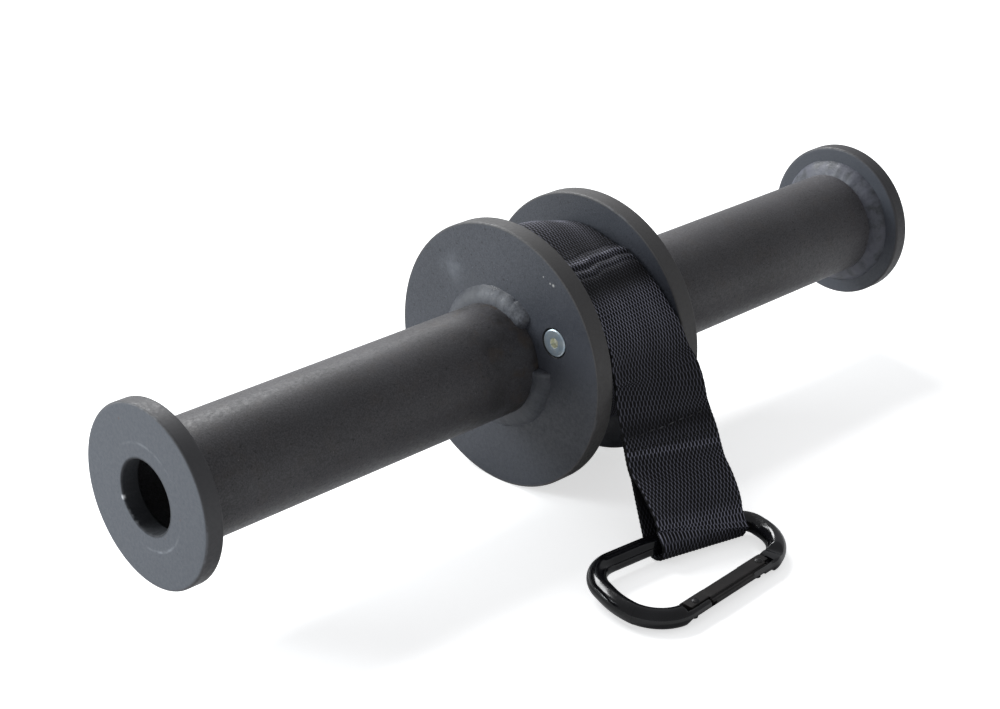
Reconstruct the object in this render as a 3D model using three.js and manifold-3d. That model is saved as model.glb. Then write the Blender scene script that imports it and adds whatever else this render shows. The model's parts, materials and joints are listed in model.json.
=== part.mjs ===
// A wrist roller: a steel tube with a plate welded on each end and a drum between two flanges at its
// middle. A webbing strap is bolted between the flanges and wound on the drum, and its free end is sewn
// into a loop that holds a carabiner. Lengths are in millimetres and +Z is up. The tube lies along X,
// and the strap leaves towards -Y and brings the carabiner down to the surface that the roller stands on.
import * as THREE from "three";
import { mergeVertices } from "three/addons/utils/BufferGeometryUtils.js";
import Module from "manifold-3d";

const wasm = await Module();
wasm.setup();

const degree = Math.PI / 180;
const fullTurn = 2 * Math.PI;

// Fits that all pieces share
const seatGap = 0.3; // between pieces that touch
const cutOverrun = 2; // how far a cutting shape passes the surface that it cuts

// Tube, end plates and drum
const rollerLength = 435;
const tubeRadius = 25;
const tubeWall = 3;
const endPlateRadius = 38;
const endPlateThickness = 8;
const endBoreRadius = 15.25;
const flangeRadius = 60;
const flangeThickness = 9;
const drumWidth = 45.5;
const edgeChamfer = 0.6;
const flangeFacets = 72; // an even number, so that a flat lies at the bottom
const plateFacets = 56;

// Welds: a leg is how far a bead reaches out from the corner that it fills
const endWeldRadialLeg = 6;
const endWeldAxialLeg = 5;
const flangeWeldRadialLeg = 6.5;
const flangeWeldAxialLeg = 5.5;
const weldRipplePitch = 7;
const weldRippleDepth = 0.5;
const weldStepsInRipple = 3;
const weldEndShare = 0.45; // how full a bead is at its very end
const weldProfileShares = [[0, 1], [0.16, 0.82], [0.42, 0.5], [0.78, 0.2], [1, 0]]; // along X, outwards
const upperWeldFrom = -30 * degree;
const upperWeldTo = 131 * degree;
const lowerWeldFrom = 175 * degree;
const lowerWeldTo = 310 * degree;

// Bolt that holds the strap: a countersunk screw with a hexagon socket, through the left flange into the
// tapped right flange
const boltRadius = 3;
const boltHeadRadius = 6.1;
const boltThreadDepth = 5.5; // how far it goes into the right flange
const boltLength = flangeThickness + drumWidth + boltThreadDepth;
const boltCircleRadius = 37.9;
const boltAngle = 153.8 * degree;
const boltHeadRim = 0.4;
const socketAcrossFlats = 4;
const socketDepth = 2.6;
const countersinkRadius = 6.9;
const boltHoleClearance = 0.3;
const boltFacets = 32;

// Webbing, and how it lies on the drum. The winding goes round the tube and over the bolt, so its outline
// is a large round with a hump.
const strapWidth = 43.3;
const strapThickness = 1.6;
const strapEdgeRound = 0.5;
const windingRadius = 45.2; // middle of the outer turn where it lies round the tube
const humpRadius = 17; // middle of the outer turn round the bolt's axis
const turnGap = 0.6; // between one end of the outer turn and the other
const coreGap = 0.5;
const eyeLegLength = 8;
const eyeTurn = 315 * degree;
const takeOffAngle = 141 * degree; // the strap's outward normal where it leaves the winding

// Free run of the strap, from where it leaves the winding to the carabiner's spine. Each row gives the
// shares of the way gone sideways, forwards and down, and the share of the greatest yaw.
const greatestYaw = 24 * degree;
const runShares = [
  [0.0, 0.19, 0.148, 0.125],
  [0.04, 0.267, 0.252, 0.36],
  [0.06, 0.345, 0.333, 0.54],
  [0.29, 0.457, 0.448, 0.77],
  [0.45, 0.596, 0.585, 0.94],
  [0.6, 0.705, 0.7, 1.0],
  [0.72, 0.835, 0.765, 0.9],
  [0.84, 0.94, 0.825, 0.75],
  [0.94, 1.02, 0.885, 0.62],
  [1.0, 1.068, 0.945, 0.53],
];
const loopGap = 0.8; // between the strap's loop and the carabiner's spine
const alignFromShare = 0.72; // from here on the strap's width turns into line with the spine
const frontLeave = 28 * degree; // the bend round the spine, from the front's level to the back
const backLeave = -148 * degree;
const backLayerShare = 0.64; // where the back layer meets the run again, as a share of the run's length
const tailShare = 0.47; // where the sewn tail ends
const outerTurnSteps = 72;
const runSteps = 40;
const bendSteps = 14;
const backSteps = 6;

// Carabiner: a modified D of round bar. Its corners are named along the bar from the wide end: a large
// round at the gate's nose, a side with the gate, a hinge corner, a narrow end and the long spine.
const barRadius = 4.2;
const gateSideLength = 87;
const wideEndLength = 51;
const narrowEndLength = 27;
const wideEndAngle = 80 * degree;
const narrowEndAngle = 80.8 * degree;
const spineCornerRadius = 16.5;
const noseCornerRadius = 18.6;
const hingeCornerRadius = 20;
const narrowCornerRadius = 8;
const barFacets = 12;
const barSteps = 64;
const cornerSteps = 10;
const loopShare = 0.312; // the strap's place on the spine, from the narrow end
const carabinerYaw = 3.5 * degree;
const carabinerSide = -80.1; // the nose corner's place along the roller, from its middle
const carabinerReach = 139.8; // the nose corner's distance in front of the roller's axis

// Gate, with places along it measured from its hinge rivet towards the nose
const hingeFromNoseCorner = 63;
const latchFromHinge = 39.5;
const gateBehindHinge = 4.6;
const gatePastLatch = 5;
const gateWidth = 9.2;
const gateHeight = 7.2;
const gateCornerRound = 2.4;
const noseLipLength = 33; // from the hinge rivet to the joint line on the outside
const noseLipDepth = 2.1;
const hingeLipLength = 5.4;
const hingeLipDepth = 3.4;
const cheekRadius = 3.2;
const tongueHalfThickness = 1.4;
const tongueInnerReach = 3.2;
const camReach = 2.6;
const camHalfWidth = 2.4;
const slotPastCam = 3.2;
const noseSlotLength = 9;
const noseTongueStep = 3.2;
const hingeBodyClearance = 2;
const rivetRadius = 1.2;
const rivetHeadRadius = 1.8;
const rivetHeadHeight = 0.35;
const rivetFacets = 16;
const gateBoreRadius = 1.8;
const plungerRadius = 1.5;
const plungerLength = 9;
const plungerTravel = 0.9;
const springWireRadius = 0.25;
const springCoilRadius = 1.15;
const springCurls = 9;
const springPitch = 1.25;
const springStepsInCurl = 8;
const springSides = 5;

// Sizes that follow from those above
const tubeInnerRadius = tubeRadius - tubeWall;
const halfRoller = rollerLength / 2;
const halfDrum = drumWidth / 2;
const halfStrap = strapThickness / 2;
const flangeFlat = flangeRadius * Math.cos(Math.PI / flangeFacets);
const outerTurnPitch = strapThickness + turnGap;
const floorHeight = -flangeFlat; // seen from the roller's axis
const gateHalfWidth = gateWidth / 2;
const gateHalfHeight = gateHeight / 2;
const slotHalfThickness = tongueHalfThickness + seatGap;

// Turns a geometry's faces to point out, if they point in.
function facingOut(geometry) {
  const flat = geometry.index ? geometry.toNonIndexed() : geometry;
  const place = flat.getAttribute("position");
  const corner = [new THREE.Vector3(), new THREE.Vector3(), new THREE.Vector3()];
  let sixVolumes = 0;
  for (let i = 0; i < place.count; i += 3) {
    corner.forEach((c, k) => c.fromBufferAttribute(place, i + k));
    sixVolumes += corner[0].dot(corner[1].cross(corner[2]));
  }
  if (sixVolumes < 0) {
    const a = new THREE.Vector3();
    const b = new THREE.Vector3();
    for (let i = 0; i < place.count; i += 3) {
      a.fromBufferAttribute(place, i + 1);
      b.fromBufferAttribute(place, i + 2);
      place.setXYZ(i + 1, b.x, b.y, b.z);
      place.setXYZ(i + 2, a.x, a.y, a.z);
    }
  }
  return new THREE.BufferGeometry().setAttribute("position", place);
}

// A closed geometry as a solid that can be joined and cut.
function solidOf(geometry) {
  const merged = mergeVertices(facingOut(geometry));
  const vertProperties = new Float32Array(merged.getAttribute("position").array);
  const triVerts = new Uint32Array(merged.index.array);
  return new wasm.Manifold(new wasm.Mesh({ numProp: 3, vertProperties, triVerts }));
}

function geometryOf(solid) {
  const made = solid.getMesh();
  return new THREE.BufferGeometry()
    .setAttribute("position", new THREE.BufferAttribute(made.vertProperties, 3))
    .setIndex(new THREE.BufferAttribute(made.triVerts, 1));
}

// A piece turned about X. The profile lists [along X, radius] and closes on itself or on the axis.
function turned(profile, facets) {
  const points = profile.map(([along, radius]) => new THREE.Vector2(radius, along));
  return new THREE.LatheGeometry(points, facets, Math.PI / facets).rotateZ(-Math.PI / 2);
}

// A cylinder along X, from one place to another.
function rodAlongX(from, to, radius, facets) {
  return turned([[from, 0], [from, radius], [to, radius], [to, 0]], facets);
}

// A ring with chamfered edges, turned about X.
function chamferedRing(from, to, outer, inner, facets) {
  const c = edgeChamfer;
  return turned([
    [from, inner + c], [from, outer - c], [from + c, outer], [to - c, outer],
    [to, outer - c], [to, inner + c], [to - c, inner], [from + c, inner], [from, inner + c],
  ], facets);
}

function box(low, high) {
  const size = high.map((value, k) => value - low[k]);
  const middle = high.map((value, k) => (value + low[k]) / 2);
  return new THREE.BoxGeometry(...size).translate(...middle);
}

// An upright round cutter at a place along the gate side, taller than the bar.
function upright(x, radius) {
  const height = 2 * (barRadius + cutOverrun);
  const cylinder = new THREE.CylinderGeometry(radius, radius, height, rivetFacets);
  return solidOf(cylinder.rotateX(Math.PI / 2).translate(x, 0, 0));
}

// A closed skin through rings that have the same number of points. It is capped at both ends, or runs
// back into its first ring.
function skin(rings, closed = false) {
  const sides = rings[0].length;
  const positions = rings.flat().flatMap((point) => point.toArray());
  const index = [];
  const spans = closed ? rings.length : rings.length - 1;
  for (let i = 0; i < spans; i++) {
    const here = i * sides;
    const next = ((i + 1) % rings.length) * sides;
    for (let k = 0; k < sides; k++) {
      const after = (k + 1) % sides;
      index.push(here + k, next + k, next + after, here + k, next + after, here + after);
    }
  }
  if (!closed) {
    const last = (rings.length - 1) * sides;
    for (let k = 1; k < sides - 1; k++) {
      index.push(0, k, k + 1, last, last + k + 1, last + k);
    }
  }
  return new THREE.BufferGeometry()
    .setAttribute("position", new THREE.Float32BufferAttribute(positions, 3))
    .setIndex(index);
}

const piece = (name, geometry, color, roughness, metalness) => {
  const material = new THREE.MeshStandardMaterial({ color, roughness, metalness });
  const mesh = new THREE.Mesh(facingOut(geometry), material);
  mesh.name = name;
  return mesh;
};
const painted = (name, geometry) => piece(name, geometry, 0x2b2c2e, 0.6, 0.1);
const paintedPlate = (name, geometry) => piece(name, geometry, 0x3a3e44, 0.6, 0.1);
const bead = (name, geometry) => piece(name, geometry, 0x4a4d52, 0.55, 0.15);
const webbing = (name, geometry) => piece(name, geometry, 0x15151a, 0.85, 0);
const anodised = (name, geometry) => piece(name, geometry, 0x0c0c0f, 0.25, 0.7);
const zinc = (name, geometry) => piece(name, geometry, 0xa9b4ba, 0.3, 0.9);

// The outward direction at an angle in the plane across the roller, from +Y towards +Z.
const outward = (angle) => new THREE.Vector3(0, Math.cos(angle), Math.sin(angle));
const boltPlace = outward(boltAngle).multiplyScalar(boltCircleRadius);

function tubeGeometry() {
  const end = halfRoller - endPlateThickness - seatGap;
  return turned([
    [-end, tubeInnerRadius], [-end, tubeRadius], [end, tubeRadius], [end, tubeInnerRadius],
    [-end, tubeInnerRadius],
  ], plateFacets);
}

function endPlateGeometry(side) {
  const inner = halfRoller - endPlateThickness;
  const from = side < 0 ? -halfRoller : inner;
  const ring = [from, from + endPlateThickness, endPlateRadius, endBoreRadius];
  return chamferedRing(...ring, plateFacets);
}

// A flange with the hole for the strap's bolt, which the left flange has countersunk.
function flangeGeometry(side) {
  const from = side < 0 ? -halfDrum - flangeThickness : halfDrum;
  const to = from + flangeThickness;
  const bore = tubeRadius + seatGap;
  const plate = solidOf(chamferedRing(from, to, flangeRadius, bore, flangeFacets));
  const holeRadius = boltRadius + boltHoleClearance;
  const hole = rodAlongX(from - cutOverrun, to + cutOverrun, holeRadius, boltFacets);
  let cutter = solidOf(hole.translate(...boltPlace));
  if (side < 0) {
    const sink = turned([
      [from - cutOverrun, 0], [from - cutOverrun, countersinkRadius], [from, countersinkRadius],
      [from + countersinkRadius - holeRadius, holeRadius],
      [from + countersinkRadius - holeRadius, 0],
    ], boltFacets);
    cutter = cutter.add(solidOf(sink.translate(...boltPlace)));
  }
  return geometryOf(plate.subtract(cutter));
}

// A fillet bead in the corner between the tube and a plate. Its face is a shallow round with ripples,
// and a bead that doesn't go all the way round has its ends drawn in.
function weldGeometry({ plateX, side, radialLeg, axialLeg, from = 0, to = fullTurn }) {
  const closed = to - from >= fullTurn;
  const ripples = Math.round((tubeRadius * (to - from)) / weldRipplePitch);
  const steps = ripples * weldStepsInRipple;
  const rings = [];
  for (let i = 0; i < (closed ? steps : steps + 1); i++) {
    const share = i / steps;
    const angle = from + (to - from) * share;
    const ripple = weldRippleDepth * Math.abs(Math.sin(Math.PI * ripples * share));
    const ripplesFromEnd = ripples * Math.min(share, 1 - share);
    const fullness = closed ? 1 : Math.min(1, weldEndShare + ripplesFromEnd);
    const radial = (radialLeg + ripple) * fullness;
    const axial = (axialLeg + ripple) * fullness;
    const corner = [plateX + side * seatGap, tubeRadius + seatGap];
    const outline = [corner].concat(
      weldProfileShares.map(([a, r]) => [corner[0] + side * axial * a, corner[1] + radial * r]),
    );
    rings.push(outline.map(([x, radius]) => outward(angle).multiplyScalar(radius).setX(x)));
  }
  return skin(rings, closed);
}

function boltGeometry() {
  const face = -halfDrum - flangeThickness;
  const coneEnd = face + boltHeadRim + boltHeadRadius - boltRadius;
  const blank = turned([
    [face, 0], [face, boltHeadRadius], [face + boltHeadRim, boltHeadRadius],
    [coneEnd, boltRadius], [face + boltLength - edgeChamfer, boltRadius],
    [face + boltLength, boltRadius - edgeChamfer], [face + boltLength, 0],
  ], boltFacets);
  const socketRadius = socketAcrossFlats / Math.sqrt(3);
  const socket = rodAlongX(face - cutOverrun, face + socketDepth, socketRadius, 6);
  return geometryOf(solidOf(blank).subtract(solidOf(socket))).translate(...boltPlace);
}

// Webbing as a skin through stations. A station has the strap's centre there, the direction across its
// width and its outward normal. The section is a flat bar with rounded edges.
function webbingGeometry(stations) {
  const half = strapWidth / 2;
  const inset = half - strapEdgeRound;
  const outlineOf = [
    [-inset, halfStrap], [inset, halfStrap], [half, 0], [inset, -halfStrap], [-inset, -halfStrap],
    [-half, 0],
  ];
  return skin(stations.map(({ centre, across, normal }) =>
    outlineOf.map(([u, v]) =>
      centre.clone().addScaledVector(across, u).addScaledVector(normal, v)),
  ));
}

const alongRoller = new THREE.Vector3(1, 0, 0);

// A point of the winding's outline where its outward normal has this angle: the farther out of a round
// about the tube's axis and a round about the bolt's.
function onWinding(angle, roundTube, roundBolt) {
  const overBolt = boltCircleRadius * Math.cos(angle - boltAngle) + roundBolt;
  return overBolt > roundTube
    ? outward(angle).multiplyScalar(roundBolt).add(boltPlace)
    : outward(angle).multiplyScalar(roundTube);
}

function coreGeometry() {
  const inset = outerTurnPitch + halfStrap + coreGap;
  const outer = [windingRadius - inset, humpRadius - inset];
  const eyeOuter = boltRadius + seatGap + strapThickness + seatGap;
  const inner = [tubeRadius + seatGap, eyeOuter];
  const ringOf = (rounds) =>
    Array.from({ length: plateFacets }, (_, k) => {
      const point = onWinding((fullTurn * k) / plateFacets, ...rounds);
      return new THREE.Vector2(point.y, point.z);
    });
  const shape = new THREE.Shape(ringOf(outer));
  shape.holes.push(new THREE.Path(ringOf(inner)));
  const settings = { depth: strapWidth, bevelEnabled: false };
  const toRoller = new THREE.Matrix4().makeBasis(
    new THREE.Vector3(0, 1, 0), new THREE.Vector3(0, 0, 1), alongRoller,
  );
  return new THREE.ExtrudeGeometry(shape, settings)
    .translate(0, 0, -strapWidth / 2)
    .applyMatrix4(toRoller);
}

// The strap's inner end: a straight leg, then most of a turn round the bolt.
function eyeStations() {
  const round = boltRadius + seatGap + halfStrap;
  const away = tubeRadius - boltRadius - strapThickness;
  const legAngle = boltAngle - Math.acos(away / boltCircleRadius);
  const stations = [];
  const leg = outward(legAngle - 90 * degree).multiplyScalar(eyeLegLength);
  const turnSteps = 2 * bendSteps;
  for (let i = 0; i <= turnSteps; i++) {
    const angle = legAngle + (eyeTurn * i) / turnSteps;
    const normal = outward(angle);
    const centre = normal.clone().multiplyScalar(round).add(boltPlace);
    stations.push({ centre, across: alongRoller, normal });
  }
  const first = stations[0];
  const legEnd = { ...first, centre: first.centre.clone().add(leg) };
  return [legEnd, ...stations];
}

// The outer turn: a spiral that grows by one pitch and ends where the strap leaves the winding.
function outerTurnStations() {
  const steps = outerTurnSteps;
  return Array.from({ length: steps + 1 }, (_, i) => {
    const share = i / steps;
    const angle = takeOffAngle - fullTurn * (1 - share);
    const inward = outerTurnPitch * (1 - share);
    const centre = onWinding(angle, windingRadius - inward, humpRadius - inward);
    return { centre, across: alongRoller, normal: outward(angle) };
  });
}

// The carabiner's middle line: the straight sides between its corners, with each corner rounded.
function carabinerCorners() {
  const nose = new THREE.Vector3(0, 0, 0);
  const hinge = new THREE.Vector3(gateSideLength, 0, 0);
  const wide = new THREE.Vector3(Math.cos(wideEndAngle), Math.sin(wideEndAngle), 0);
  const narrow = new THREE.Vector3(Math.cos(narrowEndAngle), Math.sin(narrowEndAngle), 0);
  return {
    nose,
    hinge,
    spineAtWide: wide.multiplyScalar(wideEndLength),
    spineAtNarrow: narrow.multiplyScalar(narrowEndLength).add(hinge),
  };
}

// Points on the round of a corner, from the side before it to the side after it.
function roundedCorner(before, corner, after, radius) {
  const back = before.clone().sub(corner).normalize();
  const on = after.clone().sub(corner).normalize();
  const half = back.angleTo(on) / 2;
  const middle = back.clone().add(on).normalize().multiplyScalar(radius / Math.sin(half));
  const centre = corner.clone().add(middle);
  const start = back.multiplyScalar(radius / Math.tan(half)).add(corner).sub(centre);
  const end = on.multiplyScalar(radius / Math.tan(half)).add(corner).sub(centre);
  const axis = start.clone().cross(end).normalize();
  const sweep = start.angleTo(end);
  return Array.from({ length: cornerSteps + 1 }, (_, k) =>
    start.clone().applyAxisAngle(axis, (sweep * k) / cornerSteps).add(centre));
}

function carabinerLine() {
  const { nose, hinge, spineAtWide, spineAtNarrow } = carabinerCorners();
  const noseLipEnd = new THREE.Vector3(hingeFromNoseCorner - noseLipLength, 0, 0);
  const hingeLipEnd = new THREE.Vector3(hingeFromNoseCorner - hingeLipLength, 0, 0);
  return [
    noseLipEnd,
    ...roundedCorner(hinge, nose, spineAtWide, noseCornerRadius),
    ...roundedCorner(nose, spineAtWide, spineAtNarrow, spineCornerRadius),
    ...roundedCorner(spineAtWide, spineAtNarrow, hinge, narrowCornerRadius),
    ...roundedCorner(spineAtNarrow, hinge, nose, hingeCornerRadius),
    hingeLipEnd,
  ];
}

// The body: the round bar, cut away beside the gate, with a thin tongue at each end that stands between
// the gate's cheeks. The nose's tongue has the notch that catches the latch rivet.
function carabinerBodyGeometry() {
  const section = new THREE.Shape().absarc(0, 0, barRadius, 0, fullTurn);
  const settings = {
    steps: barSteps,
    curveSegments: barFacets / 2,
    extrudePath: new THREE.CatmullRomCurve3(carabinerLine(), false, "centripetal"),
  };
  const bar = solidOf(new THREE.ExtrudeGeometry(section, settings));
  const tall = barRadius + cutOverrun;
  const thick = tongueHalfThickness;
  const rootInBar = barRadius / 2; // how far a tongue's root reaches into the bar
  const rootInLip = (lipDepth) => (lipDepth + barRadius) / 2;
  const hingeX = hingeFromNoseCorner;
  const latchX = hingeX - latchFromHinge;
  const hingeEnd = hingeX + gateBehindHinge + hingeBodyClearance;
  const noseEnd = latchX - gatePastLatch - seatGap;
  const hole = rivetRadius + seatGap;
  const cuts = [
    box([noseEnd, -noseLipDepth, -tall], [hingeX - noseLipLength + cutOverrun, tall, tall]),
    box([hingeX - hingeLipLength - cutOverrun, -hingeLipDepth, -tall], [hingeEnd, tall, tall]),
  ].map(solidOf);
  const tongues = [
    box([noseEnd - rootInBar, -rootInLip(noseLipDepth), -thick],
      [latchX + noseTongueStep, tongueInnerReach, thick]),
    box([hingeX - camReach, -camHalfWidth, -thick], [hingeEnd + rootInBar, camHalfWidth, thick]),
    box([hingeX, -rootInLip(hingeLipDepth), -thick], [hingeEnd + rootInBar, 0, thick]),
  ].map(solidOf);
  const notch = solidOf(box([latchX - hole, 0, -tall], [latchX + hole, tall, tall]));
  const holes = [upright(hingeX, hole), upright(latchX, hole), notch];
  let body = cuts.reduce((solid, cut) => solid.subtract(cut), bar);
  body = tongues.reduce((solid, tongue) => solid.add(tongue), body);
  return geometryOf(holes.reduce((solid, cut) => solid.subtract(cut), body));
}

// The gate, with its hinge rivet at the origin and its nose end towards -X. Both ends are forked, cut
// back on the outside where the body's lips lie, and a bore holds the spring and its plunger.
function gateGeometry() {
  const round = gateCornerRound;
  const y = gateHalfWidth - round;
  const z = gateHalfHeight - round;
  const section = new THREE.Shape()
    .absarc(y, z, round, 0, 90 * degree)
    .absarc(-y, z, round, 90 * degree, 180 * degree)
    .absarc(-y, -z, round, 180 * degree, 270 * degree)
    .absarc(y, -z, round, 270 * degree, fullTurn);
  const tip = -latchFromHinge - gatePastLatch;
  const length = gateBehindHinge - tip;
  const toGate = new THREE.Matrix4().makeBasis(
    new THREE.Vector3(0, 1, 0), new THREE.Vector3(0, 0, 1), alongRoller,
  );
  const blank = new THREE.ExtrudeGeometry(section, {
    depth: length, bevelEnabled: false, curveSegments: 3,
  }).applyMatrix4(toGate).translate(tip, 0, 0);
  const over = cutOverrun;
  const wide = gateHalfWidth + over;
  const tall = gateHalfHeight + over;
  const slot = slotHalfThickness;
  const springSlot = -camReach - slotPastCam;
  const noseSlot = -latchFromHinge + noseSlotLength;
  const cuts = [
    box([tip - over, -wide, -slot], [noseSlot, wide, slot]),
    box([springSlot, -wide, -slot], [gateBehindHinge + over, wide, slot]),
    box([tip - over, -wide, -tall], [-noseLipLength + seatGap, -noseLipDepth + seatGap, tall]),
    box([-hingeLipLength - seatGap, -wide, -tall], [gateBehindHinge + over, -cheekRadius, tall]),
  ].map(solidOf);
  const bore = rodAlongX(springEnd() - seatGap, springSlot + over, gateBoreRadius, rivetFacets);
  const hole = rivetRadius + seatGap;
  // past the hinge rivet, the outer half of each cheek is round about it, to clear the body as it turns
  const pastHinge = solidOf(box([0, -wide, -tall], [gateBehindHinge + over, 0, tall]))
    .subtract(upright(0, cheekRadius));
  const roundCuts = [solidOf(bore), upright(0, hole), upright(-latchFromHinge, hole), pastHinge];
  return geometryOf([...cuts, ...roundCuts].reduce((solid, cut) => solid.subtract(cut), solidOf(blank)));
}

function rivetGeometry() {
  const head = gateHalfHeight + seatGap / 2;
  const top = head + rivetHeadHeight;
  const half = [
    [0, rivetRadius], [head, rivetRadius], [head, rivetHeadRadius], [top, rivetHeadRadius / 2],
  ];
  const mirrored = half.map(([along, radius]) => [-along, radius]).reverse();
  return turned([[-top, 0], ...mirrored, ...half.slice(1), [top, 0]], rivetFacets)
    .rotateY(Math.PI / 2);
}

// Places inside the gate, along it from the hinge rivet: the plunger rests against the cam, and behind it
// the spring keeps the plunger's travel free.
const plungerTip = () => -camReach - seatGap;
const springStart = () => plungerTip() - plungerLength - plungerTravel - seatGap;
const springEnd = () => springStart() - springCurls * springPitch - 2 * springWireRadius;

function plungerGeometry() {
  const tip = plungerTip();
  const nose = tip - plungerRadius / 2;
  return turned([
    [tip - plungerLength, 0], [tip - plungerLength, plungerRadius], [nose, plungerRadius],
    [tip, plungerRadius / 2], [tip, 0],
  ], rivetFacets);
}

// The gate's spring: a helix of round wire, one unbroken tube.
function springGeometry() {
  const steps = springCurls * springStepsInCurl;
  const start = springStart() - springWireRadius;
  const climb = springPitch / (fullTurn * springCoilRadius);
  const rings = [];
  const centres = [];
  for (let i = 0; i <= steps; i++) {
    const angle = (fullTurn * i) / springStepsInCurl;
    const spoke = outward(angle);
    const centre = spoke.clone().multiplyScalar(springCoilRadius);
    centre.setX(start - (springPitch * i) / springStepsInCurl);
    const onward = outward(angle + 90 * degree).setX(-climb).normalize();
    const beside = onward.clone().cross(spoke);
    centres.push(centre);
    rings.push(Array.from({ length: springSides }, (_, k) => {
      const around = (fullTurn * k) / springSides;
      return centre.clone()
        .addScaledVector(spoke, springWireRadius * Math.cos(around))
        .addScaledVector(beside, springWireRadius * Math.sin(around));
    }));
  }
  console.log("gate spring, least gap to itself: "
    + leastGap(centres, springStepsInCurl / 2, 2 * springWireRadius).toFixed(2) + " mm");
  return skin(rings);
}

// The least distance between a line's points that are more than a few steps apart, less the thickness.
function leastGap(centres, apart, thickness) {
  let least = Infinity;
  for (let i = 0; i < centres.length; i++) {
    for (let k = i + apart; k < centres.length; k++) {
      least = Math.min(least, centres[i].distanceTo(centres[k]));
    }
  }
  return least - thickness;
}

// The spine's point under the strap's loop, in the carabiner's own frame, and the spine's direction.
function spineUnderLoop() {
  const { spineAtWide, spineAtNarrow } = carabinerCorners();
  const along = spineAtNarrow.clone().sub(spineAtWide).normalize();
  return { point: spineAtNarrow.clone().lerp(spineAtWide, loopShare), along };
}

// Carabiner group. Its gate side lies on the floor, and the strap under the spine tilts it up a little.
function placeCarabiner(group) {
  const { point, along } = spineUnderLoop();
  const lowEdge = point.clone().addScaledVector(along, strapWidth / 2);
  const lift = strapThickness + loopGap;
  group.rotation.set(Math.asin(lift / lowEdge.y), 0, carabinerYaw, "ZXY");
  group.position.set(carabinerSide, -carabinerReach, floorHeight + barRadius);
  group.updateMatrixWorld(true);
}

// Stations of the strap's free run: down from the winding, round the spine from the front to the back,
// up behind the run, and the sewn tail against the run's back.
function runStations(spinePoint, spineAlong) {
  const start = onWinding(takeOffAngle, windingRadius, humpRadius);
  const round = barRadius + loopGap + halfStrap;
  const way = spinePoint.clone().sub(start);
  const acrossAt = (yawShare) => {
    const yaw = greatestYaw * yawShare;
    return new THREE.Vector3(Math.cos(yaw), -Math.sin(yaw), 0);
  };
  const onward = outward(takeOffAngle + 90 * degree);
  const first = start.clone().addScaledVector(onward, seatGap);
  const points = [first, ...runShares.map(([side, forward, down]) =>
    new THREE.Vector3(way.x * side, way.y * forward, way.z * down).add(start))];
  const yaws = [0, ...runShares.map((row) => row[3])];
  const up = new THREE.Vector3(0, 0, 1);
  const front = new THREE.Vector3().crossVectors(spineAlong, up).normalize();
  const aroundSpine = (angle) =>
    front.clone().multiplyScalar(Math.cos(angle)).addScaledVector(up, Math.sin(angle));
  const bend = Array.from({ length: bendSteps + 1 }, (_, k) => {
    const normal = aroundSpine(frontLeave + ((backLeave - frontLeave) * k) / bendSteps);
    const centre = normal.clone().multiplyScalar(round).add(spinePoint);
    return { centre, across: spineAlong, normal };
  });
  const curve = new THREE.CatmullRomCurve3([...points, bend[0].centre], false, "centripetal");
  const spineYaw = Math.atan2(-spineAlong.y, spineAlong.x) / greatestYaw;
  const yawCurve = [...yaws, spineYaw];
  const down = Array.from({ length: runSteps }, (_, i) => {
    const t = i / runSteps;
    const at = t * (yawCurve.length - 1);
    const low = Math.floor(at);
    const yaw = THREE.MathUtils.lerp(yawCurve[low], yawCurve[low + 1], at - low);
    const centre = curve.getPoint(t);
    const along = curve.getTangent(t);
    const across = acrossAt(yaw);
    across.addScaledVector(along, -along.dot(across)).normalize()
      .lerp(spineAlong, THREE.MathUtils.smoothstep(t, alignFromShare, 1)).normalize();
    return { centre, across, normal: new THREE.Vector3().crossVectors(along, across).normalize() };
  });
  const meet = Math.round(runSteps * backLayerShare);
  const tailEnd = Math.round(runSteps * tailShare);
  const behind = strapThickness + turnGap;
  const tail = down.slice(tailEnd, meet + 1).reverse().map(({ centre, across, normal }) => ({
    centre: centre.clone().addScaledVector(normal, -behind),
    across,
    normal: normal.clone().negate(),
  }));
  const last = bend[bend.length - 1];
  const rise = tail[0];
  const back = Array.from({ length: backSteps - 1 }, (_, k) => {
    const t = (k + 1) / backSteps;
    return {
      centre: last.centre.clone().lerp(rise.centre, t),
      across: last.across.clone().lerp(rise.across, t).normalize(),
      normal: last.normal.clone().lerp(rise.normal, t).normalize(),
    };
  });
  return [...down, ...bend, ...back, ...tail];
}

function buildRoller() {
  const roller = new THREE.Group();
  const inner = halfRoller - endPlateThickness;
  const outerFace = halfDrum + flangeThickness;
  const endLegs = { radialLeg: endWeldRadialLeg, axialLeg: endWeldAxialLeg };
  const drumLegs = { radialLeg: flangeWeldRadialLeg, axialLeg: flangeWeldAxialLeg };
  roller.add(painted("main_tube", tubeGeometry()));
  for (const [name, side] of [["left", -1], ["right", 1]]) {
    const endWeld = weldGeometry({ plateX: side * inner, side: -side, ...endLegs });
    const upper = { plateX: side * outerFace, side, ...drumLegs, from: upperWeldFrom, to: upperWeldTo };
    const lower = { ...upper, from: lowerWeldFrom, to: lowerWeldTo };
    roller.add(
      paintedPlate(name + "_end_plate", endPlateGeometry(side)),
      paintedPlate(name + "_drum_flange", flangeGeometry(side)),
      bead(name + "_end_weld", endWeld),
      bead(name + "_flange_weld_upper", weldGeometry(upper)),
      bead(name + "_flange_weld_lower", weldGeometry(lower)),
    );
  }
  roller.add(zinc("strap_bolt", boltGeometry()));
  return roller;
}

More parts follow.
